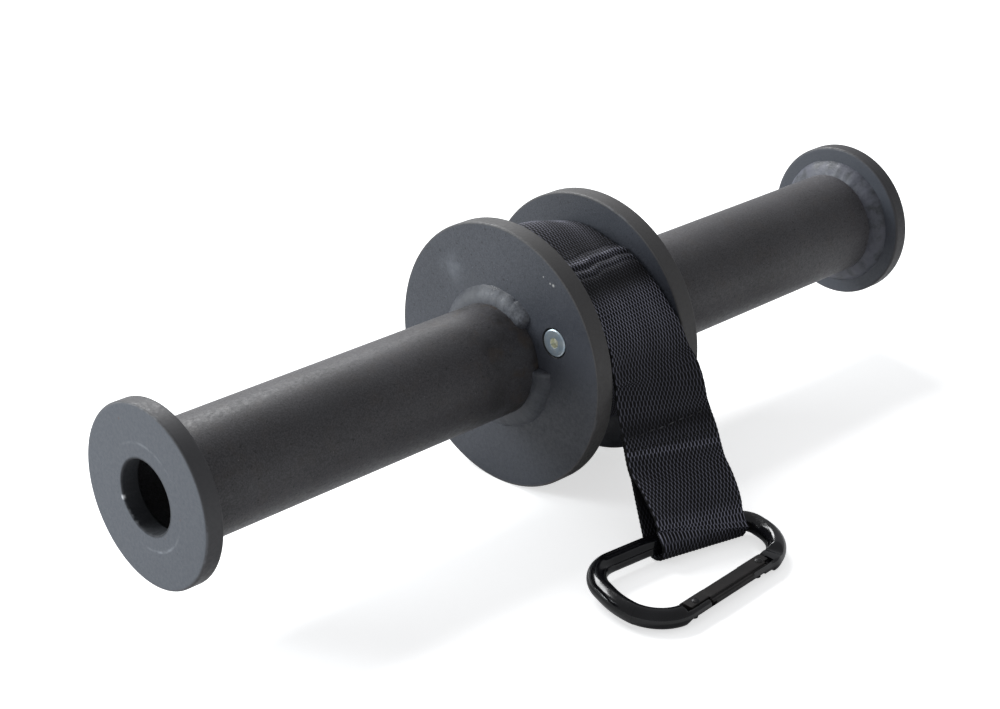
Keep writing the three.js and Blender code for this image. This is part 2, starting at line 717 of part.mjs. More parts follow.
function buildCarabiner() {
  const carabiner = new THREE.Group();
  const gate = new THREE.Group();
  gate.position.set(hingeFromNoseCorner, 0, 0);
  const latchRivet = anodised("gate_latch_rivet", rivetGeometry());
  latchRivet.position.x = -latchFromHinge;
  gate.add(
    anodised("carabiner_gate", gateGeometry()),
    anodised("gate_hinge_rivet", rivetGeometry()),
    latchRivet,
    zinc("gate_plunger", plungerGeometry()),
    zinc("gate_spring", springGeometry()),
  );
  carabiner.add(anodised("carabiner_body", carabinerBodyGeometry()), gate);
  placeCarabiner(carabiner);
  return carabiner;
}

function buildStrap(carabiner) {
  const strap = new THREE.Group();
  const { point, along } = spineUnderLoop();
  const spinePoint = point.applyMatrix4(carabiner.matrixWorld);
  const spineAlong = along.transformDirection(carabiner.matrixWorld);
  const outerTurn = outerTurnStations();
  const gap = leastGap(outerTurn.map(({ centre }) => centre), bendSteps, strapThickness);
  console.log("outer turn, least gap to itself: " + gap.toFixed(2) + " mm");
  strap.add(
    webbing("strap_eye", webbingGeometry(eyeStations())),
    webbing("strap_inner_turns", coreGeometry()),
    webbing("strap_outer_turn", webbingGeometry(outerTurn)),
    webbing("strap_run", webbingGeometry(runStations(spinePoint, spineAlong))),
  );
  return strap;
}

// The whole part, stood on z = 0 with the middle of its length and depth at the origin.
const wristRoller = new THREE.Group();
const carabiner = buildCarabiner();
wristRoller.add(buildRoller(), carabiner, buildStrap(carabiner));
const reach = new THREE.Box3().setFromObject(wristRoller, true);
wristRoller.children.forEach((group) => {
  group.position.y -= (reach.min.y + reach.max.y) / 2;
  group.position.z -= floorHeight;
});

export default wristRoller;
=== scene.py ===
import json
import math

import bmesh
import bpy
import numpy as np
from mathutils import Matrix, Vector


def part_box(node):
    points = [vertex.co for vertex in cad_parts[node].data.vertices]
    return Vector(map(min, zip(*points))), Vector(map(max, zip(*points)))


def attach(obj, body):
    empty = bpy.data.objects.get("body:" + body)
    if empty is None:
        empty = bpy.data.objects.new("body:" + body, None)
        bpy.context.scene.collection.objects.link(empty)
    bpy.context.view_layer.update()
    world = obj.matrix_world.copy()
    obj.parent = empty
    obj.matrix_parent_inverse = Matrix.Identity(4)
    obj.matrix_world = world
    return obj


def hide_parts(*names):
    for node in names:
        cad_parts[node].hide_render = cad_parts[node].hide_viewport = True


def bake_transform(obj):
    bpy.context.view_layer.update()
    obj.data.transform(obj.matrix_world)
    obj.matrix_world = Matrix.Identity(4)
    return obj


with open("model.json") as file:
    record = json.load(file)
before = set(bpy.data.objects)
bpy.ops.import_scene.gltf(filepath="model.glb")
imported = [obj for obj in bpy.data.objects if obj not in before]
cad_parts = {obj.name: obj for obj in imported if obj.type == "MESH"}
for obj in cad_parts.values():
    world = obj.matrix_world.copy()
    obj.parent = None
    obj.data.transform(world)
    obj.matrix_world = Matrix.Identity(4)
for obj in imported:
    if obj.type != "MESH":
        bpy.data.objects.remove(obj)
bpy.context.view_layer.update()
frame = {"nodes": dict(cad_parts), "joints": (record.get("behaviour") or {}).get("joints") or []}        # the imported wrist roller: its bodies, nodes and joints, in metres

MM = 0.001
DEGREE = math.pi / 180
FULL_TURN = 2 * math.pi

# The photograph's view.
CAMERA_PLACE = (-0.60624, -0.54186, 0.42487)
CAMERA_TURN = (1.1523, 0, -0.7794)
CAMERA_LENS = 74.38
CAMERA_SENSOR = 36


def place_camera():
    """The camera that was solved from the photograph's ellipses."""
    camera = bpy.data.cameras.new("photo_camera")
    camera.lens = CAMERA_LENS
    camera.sensor_width = CAMERA_SENSOR
    camera.clip_start = 10 * MM
    holder = bpy.data.objects.new("photo_camera", camera)
    holder.location = CAMERA_PLACE
    holder.rotation_euler = CAMERA_TURN
    bpy.context.scene.collection.objects.link(holder)
    bpy.context.scene.camera = holder


place_camera()


# Sizes read off the solids.
def corners_of(node):
    """The corners of a solid, one row of x, y and z each."""
    mesh = frame["nodes"][node].data
    flat = np.empty(len(mesh.vertices) * 3, np.float32)
    mesh.vertices.foreach_get("co", flat)
    return flat.reshape(-1, 3).astype(float)


def unit(vectors):
    """Each vector divided by its own length."""
    return vectors / np.linalg.norm(vectors, axis=-1, keepdims=True)


joints = {joint["name"]: joint for joint in frame["joints"]}
tube_low, tube_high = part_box("main_tube")
axis_y = (tube_low.y + tube_high.y) / 2
axis_z = (tube_low.z + tube_high.z) / 2
axis_point = np.array([0, axis_y, axis_z])


def reach_of(node, centre=axis_point):
    """The least and the greatest distance of a solid's corners from a line along X."""
    away = corners_of(node) - centre
    distance = np.hypot(away[:, 1], away[:, 2])
    return distance.min(), distance.max()


tube_inner, tube_radius = reach_of("main_tube")
plate_bore, plate_radius = reach_of("left_end_plate")
flange_bore, flange_radius = reach_of("left_drum_flange")
bolt_low, bolt_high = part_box("strap_bolt")
bolt_point = np.array([0, (bolt_low.y + bolt_high.y) / 2, (bolt_low.z + bolt_high.z) / 2])
bolt_from_axis = bolt_point - axis_point
bolt_circle = math.hypot(bolt_from_axis[1], bolt_from_axis[2])
bolt_angle = math.atan2(bolt_from_axis[2], bolt_from_axis[1])
bolt_head_radius = reach_of("strap_bolt", bolt_point)[1]
bolt_shank_radius = 3.0 * MM

outer_low, outer_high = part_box("strap_outer_turn")
strap_width = outer_high.x - outer_low.x
strap_thickness = 1.6 * MM
take_off = np.array(joints["strap_swing"]["pos_m"])
take_off_spoke = take_off - bolt_point
take_off_angle = math.atan2(take_off_spoke[2], take_off_spoke[1])
hump_radius = math.hypot(take_off_spoke[1], take_off_spoke[2]) - strap_thickness / 2
turn_pitch = 2.2 * MM
winding_at_top = outer_high.z - axis_z - strap_thickness / 2
winding_radius = winding_at_top + turn_pitch * (take_off_angle - math.pi / 2) / FULL_TURN

spine_point = np.array(joints["carabiner_swing"]["pos_m"])
spine_along = -np.array(joints["carabiner_swing"]["axis"])
hinge_point = np.array(joints["gate_hinge"]["pos_m"])
gate_up = -np.array(joints["gate_hinge"]["axis"])
gate_along = -np.array(joints["gate_plunger_slide"]["axis"])
gate_inward = np.cross(gate_up, gate_along)


# Making meshes from grids of points.
MERGE_WITHIN = 0.002 * MM


def make_piece(name, surfaces, finish, body, stands_for=(), crease=40 * DEGREE):
    """One mesh from grids of points. Neighbours in a grid join as four-sided faces, and points that fall
    together merge, so that a grid whose last row repeats its first is closed. A surface is a grid, or a
    grid with its own map in millimetres."""
    points, faces, marks = [], [], []
    first = 0
    for surface in surfaces:
        grid, chart = surface if isinstance(surface, tuple) else (surface, None)
        rows, columns = grid.shape[:2]
        number = first + np.arange(rows * columns).reshape(rows, columns)
        quads = np.stack([number[:-1, :-1], number[:-1, 1:], number[1:, 1:], number[1:, :-1]], axis=-1)
        faces.append(quads.reshape(-1, 4))
        points.append(grid.reshape(-1, 3))
        marks.append(np.zeros((rows * columns, 2)) if chart is None else chart.reshape(-1, 2))
        first += rows * columns
    points, faces, marks = (np.concatenate(part) for part in (points, faces, marks))
    mesh = bpy.data.meshes.new(name)
    mesh.vertices.add(len(points))
    mesh.vertices.foreach_set("co", points.astype(np.float32).ravel())
    mesh.loops.add(faces.size)
    mesh.loops.foreach_set("vertex_index", faces.astype(np.int32).ravel())
    mesh.polygons.add(len(faces))
    mesh.polygons.foreach_set("loop_start", np.arange(0, faces.size, 4, dtype=np.int32))
    mesh.update(calc_edges=True)
    mesh.uv_layers.new(name="chart")
    mesh.uv_layers["chart"].data.foreach_set("uv", marks[faces.ravel()].astype(np.float32).ravel())
    shell = bmesh.new()
    shell.from_mesh(mesh)
    bmesh.ops.remove_doubles(shell, verts=shell.verts, dist=MERGE_WITHIN)
    bmesh.ops.dissolve_degenerate(shell, edges=shell.edges, dist=MERGE_WITHIN)
    bmesh.ops.recalc_face_normals(shell, faces=shell.faces)
    shell.to_mesh(mesh)
    shell.free()
    mesh.polygons.foreach_set("use_smooth", np.ones(len(mesh.polygons), bool))
    mesh.set_sharp_from_angle(angle=crease)
    mesh.materials.append(finish)
    made = bpy.data.objects.new(name, mesh)
    bpy.context.scene.collection.objects.link(made)
    if body:
        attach(made, body)
    if stands_for:
        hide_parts(*stands_for)
    return made


STRAIGHT = 89.8 * DEGREE   # half the angle at a corner above which it needs no arc


def rounded(corners, radius, steps=5, support=0.5 * MM, closed=True, side_share=0.48):
    """An outline in which each corner is an arc that touches both of its sides and takes at most a share of
    either. A support point a little past each arc keeps the flats flat. Radius is one value, or one for
    each corner."""
    corners = np.asarray(corners, float)
    count = len(corners)
    radii = np.broadcast_to(np.asarray(radius, float), (count,))
    outline = []
    for k, corner in enumerate(corners):
        if not closed and k in (0, count - 1):
            outline.append(corner[None])
            continue
        before = corners[k - 1] - corner
        after = corners[(k + 1) % count] - corner
        room = side_share * min(np.linalg.norm(before), np.linalg.norm(after))
        before, after = unit(before), unit(after)
        half = math.acos(np.clip(before @ after, -1, 1)) / 2
        if half > STRAIGHT:
            outline.append(corner[None])
            continue
        reach = min(radii[k] / math.tan(half), room)
        size = reach * math.tan(half)
        centre = corner + unit(before + after) * (size / math.sin(half))
        start = corner + before * reach - centre
        end = corner + after * reach - centre
        sweep = math.pi - 2 * half
        share = np.linspace(0, 1, steps + 1)[:, None]
        arc = (start * np.sin((1 - share) * sweep) + end * np.sin(share * sweep)) / math.sin(sweep)
        spare = min(support, room - reach + support / 4)
        outline.append((corner + before * (reach + spare))[None])
        outline.append(centre + arc)
        outline.append((corner + after * (reach + spare))[None])
    outline = np.concatenate(outline)
    return np.concatenate([outline, outline[:1]]) if closed else outline


def turned(profile, angles, centre=axis_point):
    """A profile of x and radius carried round a line along X: y and z are radius times cosine and sine."""
    profile = np.asarray(profile, float)
    x, radius = profile[:, :1], profile[:, 1:]
    ring = np.ones_like(angles)
    return np.stack([
        x * ring, centre[1] + radius * np.cos(angles), centre[2] + radius * np.sin(angles),
    ], axis=-1)


def all_round(steps, start=0.0):
    """Angles at even steps once round, the last of them the first one again."""
    return start + np.linspace(0, FULL_TURN, steps + 1)


def swell(value, form):
    """A smooth swell, given as its height, place and width: the height times the exponential of minus the
    square of the distance from the place over the width."""
    height, place, width = form
    return height * np.exp(-(((value - place) / width) ** 2))


def bumps(angles, places):
    """The sum of smooth swells, each given as angle, width in degrees, and height."""
    total = np.zeros_like(angles)
    for place, width, height in places:
        away = (angles / DEGREE - place + 180) % 360 - 180
        total = total + swell(away, (height, 0.0, width))
    return total


def smooth_window(value, low, high, soft):
    """1 between low and high, falling smoothly to 0 outside them over the soft width."""
    rise = np.clip((value - low) / soft, 0, 1)
    fall = np.clip((high - value) / soft, 0, 1)
    return rise * rise * (3 - 2 * rise) * fall * fall * (3 - 2 * fall)


# Shader maths.
class Wire:
    """A shader socket. Sums and products of wires and numbers add Math nodes."""

    def __init__(self, paint, socket):
        self.paint = paint
        self.socket = socket

    def math(self, operation, *others):
        """Any other operation of the Math node, with this wire as its first value."""
        return self.paint.maths(operation, self, *others)

    def __add__(self, other):
        return self.paint.maths("ADD", self, other)

    def __sub__(self, other):
        return self.paint.maths("SUBTRACT", self, other)

    def __mul__(self, other):
        return self.paint.maths("MULTIPLY", self, other)

    def __truediv__(self, other):
        return self.paint.maths("DIVIDE", self, other)

    def __rsub__(self, other):
        return self.paint.maths("SUBTRACT", other, self)

    def __rtruediv__(self, other):
        return self.paint.maths("DIVIDE", other, self)

    __radd__ = __add__
    __rmul__ = __mul__


class Paint:
    """A material, or the world, while its nodes are being made."""

    def __init__(self, name, tree=None):
        self.material = None
        if tree is None:
            self.material = bpy.data.materials.new(name)
            self.material.use_nodes = True
            tree = self.material.node_tree
        self.tree = tree
        self.tree.nodes.clear()

    def node(self, kind, settings=None, inputs=None, output=0):
        """One node: its settings first, then the values or wires of its sockets."""
        made = self.tree.nodes.new(kind)
        for key, value in (settings or {}).items():
            setattr(made, key, value)
        for key, value in (inputs or {}).items():
            if isinstance(value, Wire):
                self.tree.links.new(value.socket, made.inputs[key])
            else:
                made.inputs[key].default_value = value
        return Wire(self, made.outputs[output]) if len(made.outputs) else None

    def maths(self, operation, *values):
        """A Math node over wires or numbers."""
        return self.node("ShaderNodeMath", {"operation": operation}, dict(enumerate(values)))

    def spot(self):
        """Object coordinates."""
        return self.node("ShaderNodeTexCoord", output="Object")

    def place(self):
        """Object coordinates, and their x, y and z."""
        spot = self.spot()
        return spot, [self.node("ShaderNodeSeparateXYZ", None, {0: spot}, k) for k in range(3)]

    def chart(self):
        """The piece's own map: across and along, in millimetres."""
        spot = self.node("ShaderNodeUVMap", {"uv_map": "chart"})
        return spot, [self.node("ShaderNodeSeparateXYZ", None, {0: spot}, k) for k in range(2)]

    def noise(self, where, scale, detail=2.0, roughness=0.5):
        """Cloudy noise about 0.5. A larger scale makes it finer."""
        inputs = {"Vector": where, "Scale": scale, "Detail": detail, "Roughness": roughness}
        return self.node("ShaderNodeTexNoise", None, inputs)

    def cells(self, where, scale):
        """The distance to the nearest of many scattered points."""
        return self.node("ShaderNodeTexVoronoi", None, {"Vector": where, "Scale": scale}, "Distance")

    def step(self, value, low, high):
        """0 below low, 1 above high and smooth between them. Low may be the larger."""
        inputs = {"Value": value, "From Min": low, "From Max": high}
        return self.node("ShaderNodeMapRange", {"interpolation_type": "SMOOTHSTEP"}, inputs)

    def near(self, value, place, half_width):
        """1 at a place, falling smoothly to 0 at half a width from it."""
        return self.step((value - place).math("ABSOLUTE"), half_width, 0.0)

    def mix(self, factor, a, b):
        """Color a where the factor is 0, and b where it is 1."""
        settings = {"data_type": "RGBA"}
        inputs = {0: factor, 6: self.color(a), 7: self.color(b)}
        return self.node("ShaderNodeMix", settings, inputs, 2)

    @staticmethod
    def color(value):
        """A wire as it is, or three numbers as an opaque color."""
        return value if isinstance(value, Wire) else (*value, 1.0)

    def stretched(self, where, scale):
        """A place with each of its axes times its own scale."""
        return self.node("ShaderNodeMapping", None, {"Vector": where, "Scale": scale})

    def bump(self, height, depth):
        """A height from 0 to 1 that stands for a depth in metres."""
        return self.node("ShaderNodeBump", None, {"Height": height, "Distance": depth, "Strength": 1.0})

    def surface(self, **sockets):
        """The Principled shader, with a socket for each name: base_color is Base Color."""
        inputs = {}
        for key, value in sockets.items():
            inputs[key.replace("_", " ").title().replace("Ior", "IOR")] = value
        shader = self.node("ShaderNodeBsdfPrincipled", None, inputs)
        self.node("ShaderNodeOutputMaterial", None, {"Surface": shader})
        return self.material


# Finishes.
WARP_COLUMN = 0.85       # millimetres between neighbouring warp columns of the webbing
WEAVE_PERIOD = 3.9       # millimetres along a column from one float to the next
FLOAT_SHARE = 0.56       # share of a period that a float shows on the face


def about_axis(paint):
    """Object coordinates, x, the distance from the roller's axis and the angle round it in degrees."""
    spot, (x, y, z) = paint.place()
    across = y - axis_y
    up = z - axis_z
    distance = (across * across + up * up).math("SQRT")
    angle = up.math("ARCTAN2", across) / DEGREE
    return spot, x, distance, angle


def painted_steel(name, base, light, rough, speckle, wear=None, stains=None):
    """Powder coat: a base colour with slow clouds, fine light and dark specks, and a grained surface."""
    paint = Paint(name)
    spot, x, distance, angle = about_axis(paint)
    clouds = paint.noise(spot, 22.0, 3.0)
    grain = paint.noise(spot, 1500.0, 2.0, 0.6)
    fine = paint.noise(spot, 620.0, 2.0, 0.7)
    tone = paint.step(clouds, 0.3, 0.7) * 0.35 + paint.step(grain, 0.35, 0.7) * 0.65
    color = paint.mix(tone * speckle, base, light)
    fleck = paint.step(paint.cells(spot, 420.0), 0.12, 0.05) * paint.step(fine, 0.52, 0.62)
    color = paint.mix(fleck * speckle * 0.5, color, tuple(3.2 * c + 0.02 for c in light))
    pit = paint.step(paint.noise(spot, 800.0, 2.0), 0.36, 0.28)
    color = paint.mix(pit * speckle * 0.8, color, tuple(0.35 * c for c in base))
    roughness = paint.step(fine, 0.3, 0.7) * 0.16 + rough
    if stains:
        color, roughness = stains(paint, spot, x, distance, angle, color, roughness)
    if wear:
        bare = wear(paint, spot, x, distance)
        color = paint.mix(bare, color, tuple(2.4 * c + 0.05 for c in light))
    normal = paint.bump(grain * 0.6 + fine, 0.05 * MM)
    return paint.surface(base_color=color, roughness=roughness, metallic=0.0, normal=normal)


def tube_stains(paint, spot, x, distance, angle, color, roughness):
    """Brown-black mottling beside the drum and faint rubbed bands along the grips."""
    from_flange = x.math("ABSOLUTE")
    beside = paint.step(from_flange, 0.075, 0.036)
    blotch = paint.step(paint.noise(spot, 75.0, 4.0, 0.6), 0.45, 0.62)
    color = paint.mix(beside * blotch * 0.8, color, (0.012, 0.010, 0.009))
    brown = paint.step(paint.noise(spot, 130.0, 3.0, 0.6), 0.5, 0.68)
    color = paint.mix(brown * (beside * 0.55 + 0.15), color, (0.062, 0.047, 0.036))
    rubbed = paint.step(paint.noise(paint.stretched(spot, (0.25, 1.0, 1.0)), 60.0, 3.0), 0.5, 0.75)
    color = paint.mix(rubbed * 0.3, color, (0.055, 0.055, 0.06))
    return color, roughness


PLATE_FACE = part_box("right_end_plate")[1].x


def plate_stains(paint, spot, x, distance, angle, color, roughness):
    """A rubbed ring where the tube stands behind the plate, rust specks, painted shade that darkens the bore,
    a chip at its edge, painted shade that darkens the right plate, and a browner rim."""
    ring = paint.near(distance, 22.0 * MM, 0.9 * MM)
    low = paint.near(angle, -115.0, 50.0)
    high = paint.near(angle, 95.0, 60.0)
    streak = paint.step(paint.noise(spot, 300.0, 2.0), 0.3, 0.6)
    color = paint.mix(ring * (low * 0.55 + high * 0.3) * streak, color, (0.30, 0.32, 0.35))
    rust = paint.step(paint.noise(spot, 190.0, 2.0), 0.735, 0.78)
    color = paint.mix(rust * 0.6, color, (0.09, 0.05, 0.04))
    # Painted shade: the bore and its edge are darkened nearly to black.
    inside = paint.step(distance, 16.6 * MM, 15.6 * MM)
    color = paint.mix(inside * 0.75, color, (0.012, 0.012, 0.013))
    off_face = PLATE_FACE - x.math("ABSOLUTE")
    chip = paint.near(angle, -20.0, 5.0) * paint.near(distance, 16.2 * MM, 1.3 * MM)
    color = paint.mix(chip * paint.step(off_face, 1.4 * MM, 0.4 * MM), color, (0.75, 0.76, 0.78))
    # Painted shade: the right plate, past x of 0.1 m, is a darker copy of the same paint.
    far = paint.step(x, 0.1, 0.15)
    color = paint.mix(far * 0.5, color, (0.030, 0.033, 0.045))
    rim = paint.step(distance, plate_radius - 1.3 * MM, plate_radius - 0.2 * MM)
    color = paint.mix(rim * 0.85, color, (0.046, 0.043, 0.044))
    return color, roughness + inside * 0.3


def from_bolt(paint, spot):
    """The distance from the strap bolt's axis."""
    y, z = (paint.node("ShaderNodeSeparateXYZ", None, {0: spot}, k) - bolt_point[k] for k in (1, 2))
    return (y * y + z * z).math("SQRT")


def from_back(paint, spot):
    """How far a place lies from the roller's axis towards the front, plus four fifths of how far below it."""
    y, z = (paint.node("ShaderNodeSeparateXYZ", None, {0: spot}, k) for k in (1, 2))
    return (axis_y - y) + (axis_z - z) * 0.8


def flange_stains(paint, spot, x, distance, angle, color, roughness):
    """A pale smudge, painted shade that darkens the coat towards the strap's side and downwards, a browner
    rim, three white specks, and near black painted shade round the bolt.
    """
    cloud = paint.step(paint.noise(spot, 120.0, 3.0), 0.35, 0.6)
    smudge = paint.near(angle, 50.0, 14.0) * paint.near(distance, 43.5 * MM, 9.0 * MM) * cloud
    color = paint.mix(smudge * 0.5, color, (0.17, 0.185, 0.21))
    # Painted shade: the face darkens towards the front of the roller and below its axis.
    painted_shade = paint.step(from_back(paint, spot), -35 * MM, 40 * MM)
    color = paint.mix(painted_shade * 0.7, color, (0.024, 0.027, 0.036))
    rim = paint.step(distance, flange_radius - 1.3 * MM, flange_radius - 0.4 * MM)
    color = paint.mix(rim * 0.65, color, (0.074, 0.068, 0.062))
    specks = 0.0
    for place, away, size in ((128.0, 54.0, 1.0), (126.2, 53.2, 0.7), (121.5, 52.6, 0.5)):
        near_angle = paint.near(angle, place, size)
        specks = near_angle * paint.near(distance, away * MM, size * 0.9 * MM) + specks
    left = paint.step(x, 0.0, -1.0 * MM)
    color = paint.mix(specks * left * 0.8, color, (0.6, 0.6, 0.58))
    # Painted shade: near black within 6.8 mm of the bolt's axis, for the shadowed gap between the bolt's head
    # and its hole.
    gap = paint.step(from_bolt(paint, spot), 7.0 * MM, 6.8 * MM)
    color = paint.mix(gap, color, (0.004, 0.004, 0.005))
    return color, roughness


def edge_wear(edges, radii):
    """Thin broken light lines where flats meet the rim: at those distances along x and from the axis."""
    def wear(paint, spot, x, distance):
        """How bare a place is: the sum of the lines at each edge and radius, times a broken noise."""
        broken = paint.step(paint.noise(spot, 90.0, 4.0, 0.65), 0.56, 0.66)
        found = 0.0
        for edge in edges:
            for radius in radii:
                line = paint.near(x, edge, 0.9 * MM) * paint.near(distance, radius, 0.9 * MM)
                found = line + found
        return found * broken * 0.3
    return wear


def weld_paint():
    """Paint over a weld: grainy with dark lumps. The drum's beads carry painted shade everywhere but at the
    upper front, and the tube's ends have lighter lumps."""
    paint = Paint("painted_weld_bead")
    spot, x, _, angle = about_axis(paint)
    grain = paint.noise(spot, 700.0, 3.0, 0.7)
    lump = paint.noise(spot, 160.0, 2.0)
    color = paint.mix(paint.step(grain, 0.3, 0.7), (0.042, 0.045, 0.054), (0.086, 0.092, 0.108))
    color = paint.mix(paint.step(lump, 0.5, 0.35) * 0.3, color, (0.02, 0.02, 0.022))
    # Painted shade on the drum's beads, by their angle round the tube.
    back = paint.step(x.math("ABSOLUTE"), 0.15, 0.1) * paint.step(angle, 100.0, 55.0)
    color = paint.mix(back * 0.5, color, (0.024, 0.027, 0.034))
    at_end = paint.step(x.math("ABSOLUTE"), 0.1, 0.15)
    color = paint.mix(at_end * paint.step(lump, 0.35, 0.6) * 0.6, color, (0.10, 0.102, 0.128))
    normal = paint.bump(grain + lump * 0.5, 0.07 * MM)
    roughness = paint.step(grain, 0.3, 0.7) * 0.2 + 0.42
    return paint.surface(base_color=color, roughness=roughness, normal=normal)


def zinc_plate():
    """Bright zinc with a faint blue and yellow cast and a fine grain, and a painted highlight in its socket.
    """
    paint = Paint("zinc_plate")
    spot = paint.spot()
    fine = paint.noise(spot, 900.0, 3.0)
    cast = paint.noise(spot, 260.0, 2.0)
    color = paint.mix(paint.step(cast, 0.35, 0.65), (0.40, 0.49, 0.57), (0.50, 0.56, 0.60))
    # Painted highlight: the socket's floor is paler and yellower than the head.
    inside = paint.step(from_bolt(paint, spot), 2.5 * MM, 2.1 * MM)
    color = paint.mix(inside * 0.8, color, (0.85, 0.83, 0.66))
    roughness = paint.step(fine, 0.3, 0.7) * 0.08 + 0.3
    normal = paint.bump(fine, 0.004 * MM)
    return paint.surface(base_color=color, roughness=roughness, metallic=0.7, normal=normal)


def woven_floats(paint):
    """1 on a warp float, 0 in the gap where the weft crosses it. Columns take turns, half a period apart."""
    spot, (across, along) = paint.chart()
    column = across / WARP_COLUMN
    odd = column.math("FLOOR").math("MODULO", 2.0)
    side = (column.math("FRACT") - 0.5).math("ABSOLUTE")
    phase = (along / WEAVE_PERIOD + odd * 0.5).math("FRACT")
    length = (phase - 0.5).math("ABSOLUTE")
    half = FLOAT_SHARE / 2
    on_length = paint.step(length, half + 0.06, half - 0.12)
    on_side = paint.step(side, 0.42, 0.1)
    return spot, along, on_length * on_side


def webbing_cloth(name, bands=()):
    """Black polyester webbing, near black, with blue-grey crests of painted sheen on the floats and some dust
    on them. A band is a place along, a half width, both in millimetres, and what it adds to the floats'
    brightness, as painted highlight or painted shade."""
    paint = Paint(name)
    spot, along, floats = woven_floats(paint)
    thread = paint.noise(paint.stretched(spot, (3.0, 0.6, 1.0)), 3.0, 3.0, 0.6)
    dust = paint.noise(spot, 0.22, 3.0)
    bright = 0.56
    # Each band adds painted highlight to the floats, or painted shade where its gain is negative.
    for place, half_width, gain in bands:
        bright = paint.near(along, place, half_width) * gain + bright
    # Painted sheen: the floats' crests are lighter than the black between them.
    crest = floats * (paint.step(thread, 0.3, 0.7) * 0.6 + 0.4) * bright
    color = paint.mix(crest, (0.0015, 0.0015, 0.002), (0.27, 0.27, 0.345))
    color = paint.mix(paint.step(dust, 0.45, 0.75) * crest * 0.3, color, (0.15, 0.16, 0.19))
    normal = paint.bump(floats * 0.7 + thread * 0.3, 0.12 * MM)
    return paint.surface(
        base_color=color, roughness=0.85 - crest * 0.3, normal=normal, specular_ior_level=0.3,
    )


def stitch_thread():
    """Black sewing thread, with painted highlight on a few stitches of the first row, broken by the thread's
    twist.
    """
    paint = Paint("stitch_thread")
    spot, (_, along) = paint.chart()
    twist = paint.noise(paint.stretched(spot, (2.0, 8.0, 1.0)), 2.0, 2.0)
    # Painted highlight on the stitches about a place along the first row.
    stitch_highlight = paint.near(along, LIGHT_STITCHES + 0.3, 3.2)
    color = paint.mix(stitch_highlight * paint.step(twist, 0.35, 0.6), (0.010, 0.010, 0.012), (0.09, 0.09, 0.10))
    return paint.surface(base_color=color, roughness=0.5, normal=paint.bump(twist, 0.05 * MM))


def gloss_anodised():
    """Black anodised aluminium under a clear gloss, with a slow change of tone and small rubbed places."""
    paint = Paint("gloss_black_anodised")
    spot = paint.spot()
    fine = paint.noise(spot, 420.0, 3.0)
    slow = paint.noise(spot, 45.0, 3.0)
    color = paint.mix(paint.step(slow, 0.4, 0.65), (0.003, 0.003, 0.004), (0.008, 0.008, 0.010))
    rubbed = paint.step(slow, 0.6, 0.72) * paint.step(fine, 0.45, 0.6)
    color = paint.mix(rubbed * 0.3, color, (0.03, 0.026, 0.022))
    roughness = paint.step(fine, 0.3, 0.7) * 0.05 + rubbed * 0.1 + 0.13
    normal = paint.bump(fine, 0.005 * MM)
    return paint.surface(
        base_color=color, roughness=roughness, metallic=0.0, normal=normal,
        specular_ior_level=0.35, coat_weight=0.2, coat_roughness=0.1,
    )


def gate_finish():
    """The gate: the same black, less glossy and browner where fingers rub it."""
    paint = Paint("satin_black_anodised")
    spot = paint.spot()
    fine = paint.noise(spot, 500.0, 3.0)
    slow = paint.noise(spot, 60.0, 3.0)
    color = paint.mix(paint.step(slow, 0.35, 0.65), (0.007, 0.0065, 0.0065), (0.016, 0.0135, 0.013))
    roughness = paint.step(fine, 0.3, 0.7) * 0.1 + 0.3
    normal = paint.bump(fine, 0.012 * MM)
    return paint.surface(
        base_color=color, roughness=roughness, metallic=0.0, normal=normal, specular_ior_level=0.3,
    )


def bare_steel(name, dark, bright, rough):
    """Steel with a fine grain and a slow change of tone."""
    paint = Paint(name)
    spot = paint.spot()
    fine = paint.noise(spot, 1100.0, 3.0)
    slow = paint.noise(spot, 180.0, 2.0)
    color = paint.mix(paint.step(slow, 0.35, 0.65), dark, bright)
    roughness = paint.step(fine, 0.3, 0.7) * 0.15 + rough
    normal = paint.bump(fine, 0.02 * MM)
    return paint.surface(base_color=color, roughness=roughness, metallic=0.9, normal=normal)


# Tube, end plates and flanges.
PLATE_EDGE = 1.1 * MM
FLANGE_EDGE = 0.9 * MM
ROUND_STEPS = 288


def build_tube(finish):
    """The tube: its wall's outline carried round the axis."""
    low, high = tube_low.x, tube_high.x
    wall = rounded(
        [(low, tube_inner), (low, tube_radius), (high, tube_radius), (high, tube_inner)], 0.4 * MM, 3,
    )
    grid = turned(wall, all_round(ROUND_STEPS))
    make_piece("grip_tube", [grid], finish, "roller", ["main_tube"])


def build_end_plate(node, name, burrs, finish):
    """A disc with a bore: a rounded outline carried round the axis, with its bore's outer edge moved in and
    out by a sum of small humps, most at the edge and fading with distance from it."""
    low, high = (corner.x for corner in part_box(node))
    outer_face = low if low < 0 else high
    outline = rounded(
        [(low, plate_bore), (low, plate_radius), (high, plate_radius), (high, plate_bore)],
        [0.7 * MM, PLATE_EDGE, PLATE_EDGE, 0.7 * MM], 6, 0.7 * MM,
    )
    angles = all_round(ROUND_STEPS)
    grid = turned(outline, angles)
    spoke = np.hypot(grid[..., 1] - axis_y, grid[..., 2] - axis_z)
    from_face = np.abs(grid[..., 0] - outer_face)
    near_edge = np.exp(-((from_face / (1.8 * MM)) ** 2) - ((spoke - plate_bore) / (1.1 * MM)) ** 2)
    moved = bumps(angles, burrs) * MM * near_edge
    for k in (1, 2):
        centre = axis_point[k]
        grid[..., k] = centre + (grid[..., k] - centre) * (1 + moved / spoke)
    make_piece(name, [grid], finish, "roller", [node])


HOLE_SECTOR_STEPS = 32   # of the steps round a flange, those that the bolt hole's patch spans
FLANGE_STEPS = 360
HOLE_RINGS = 8


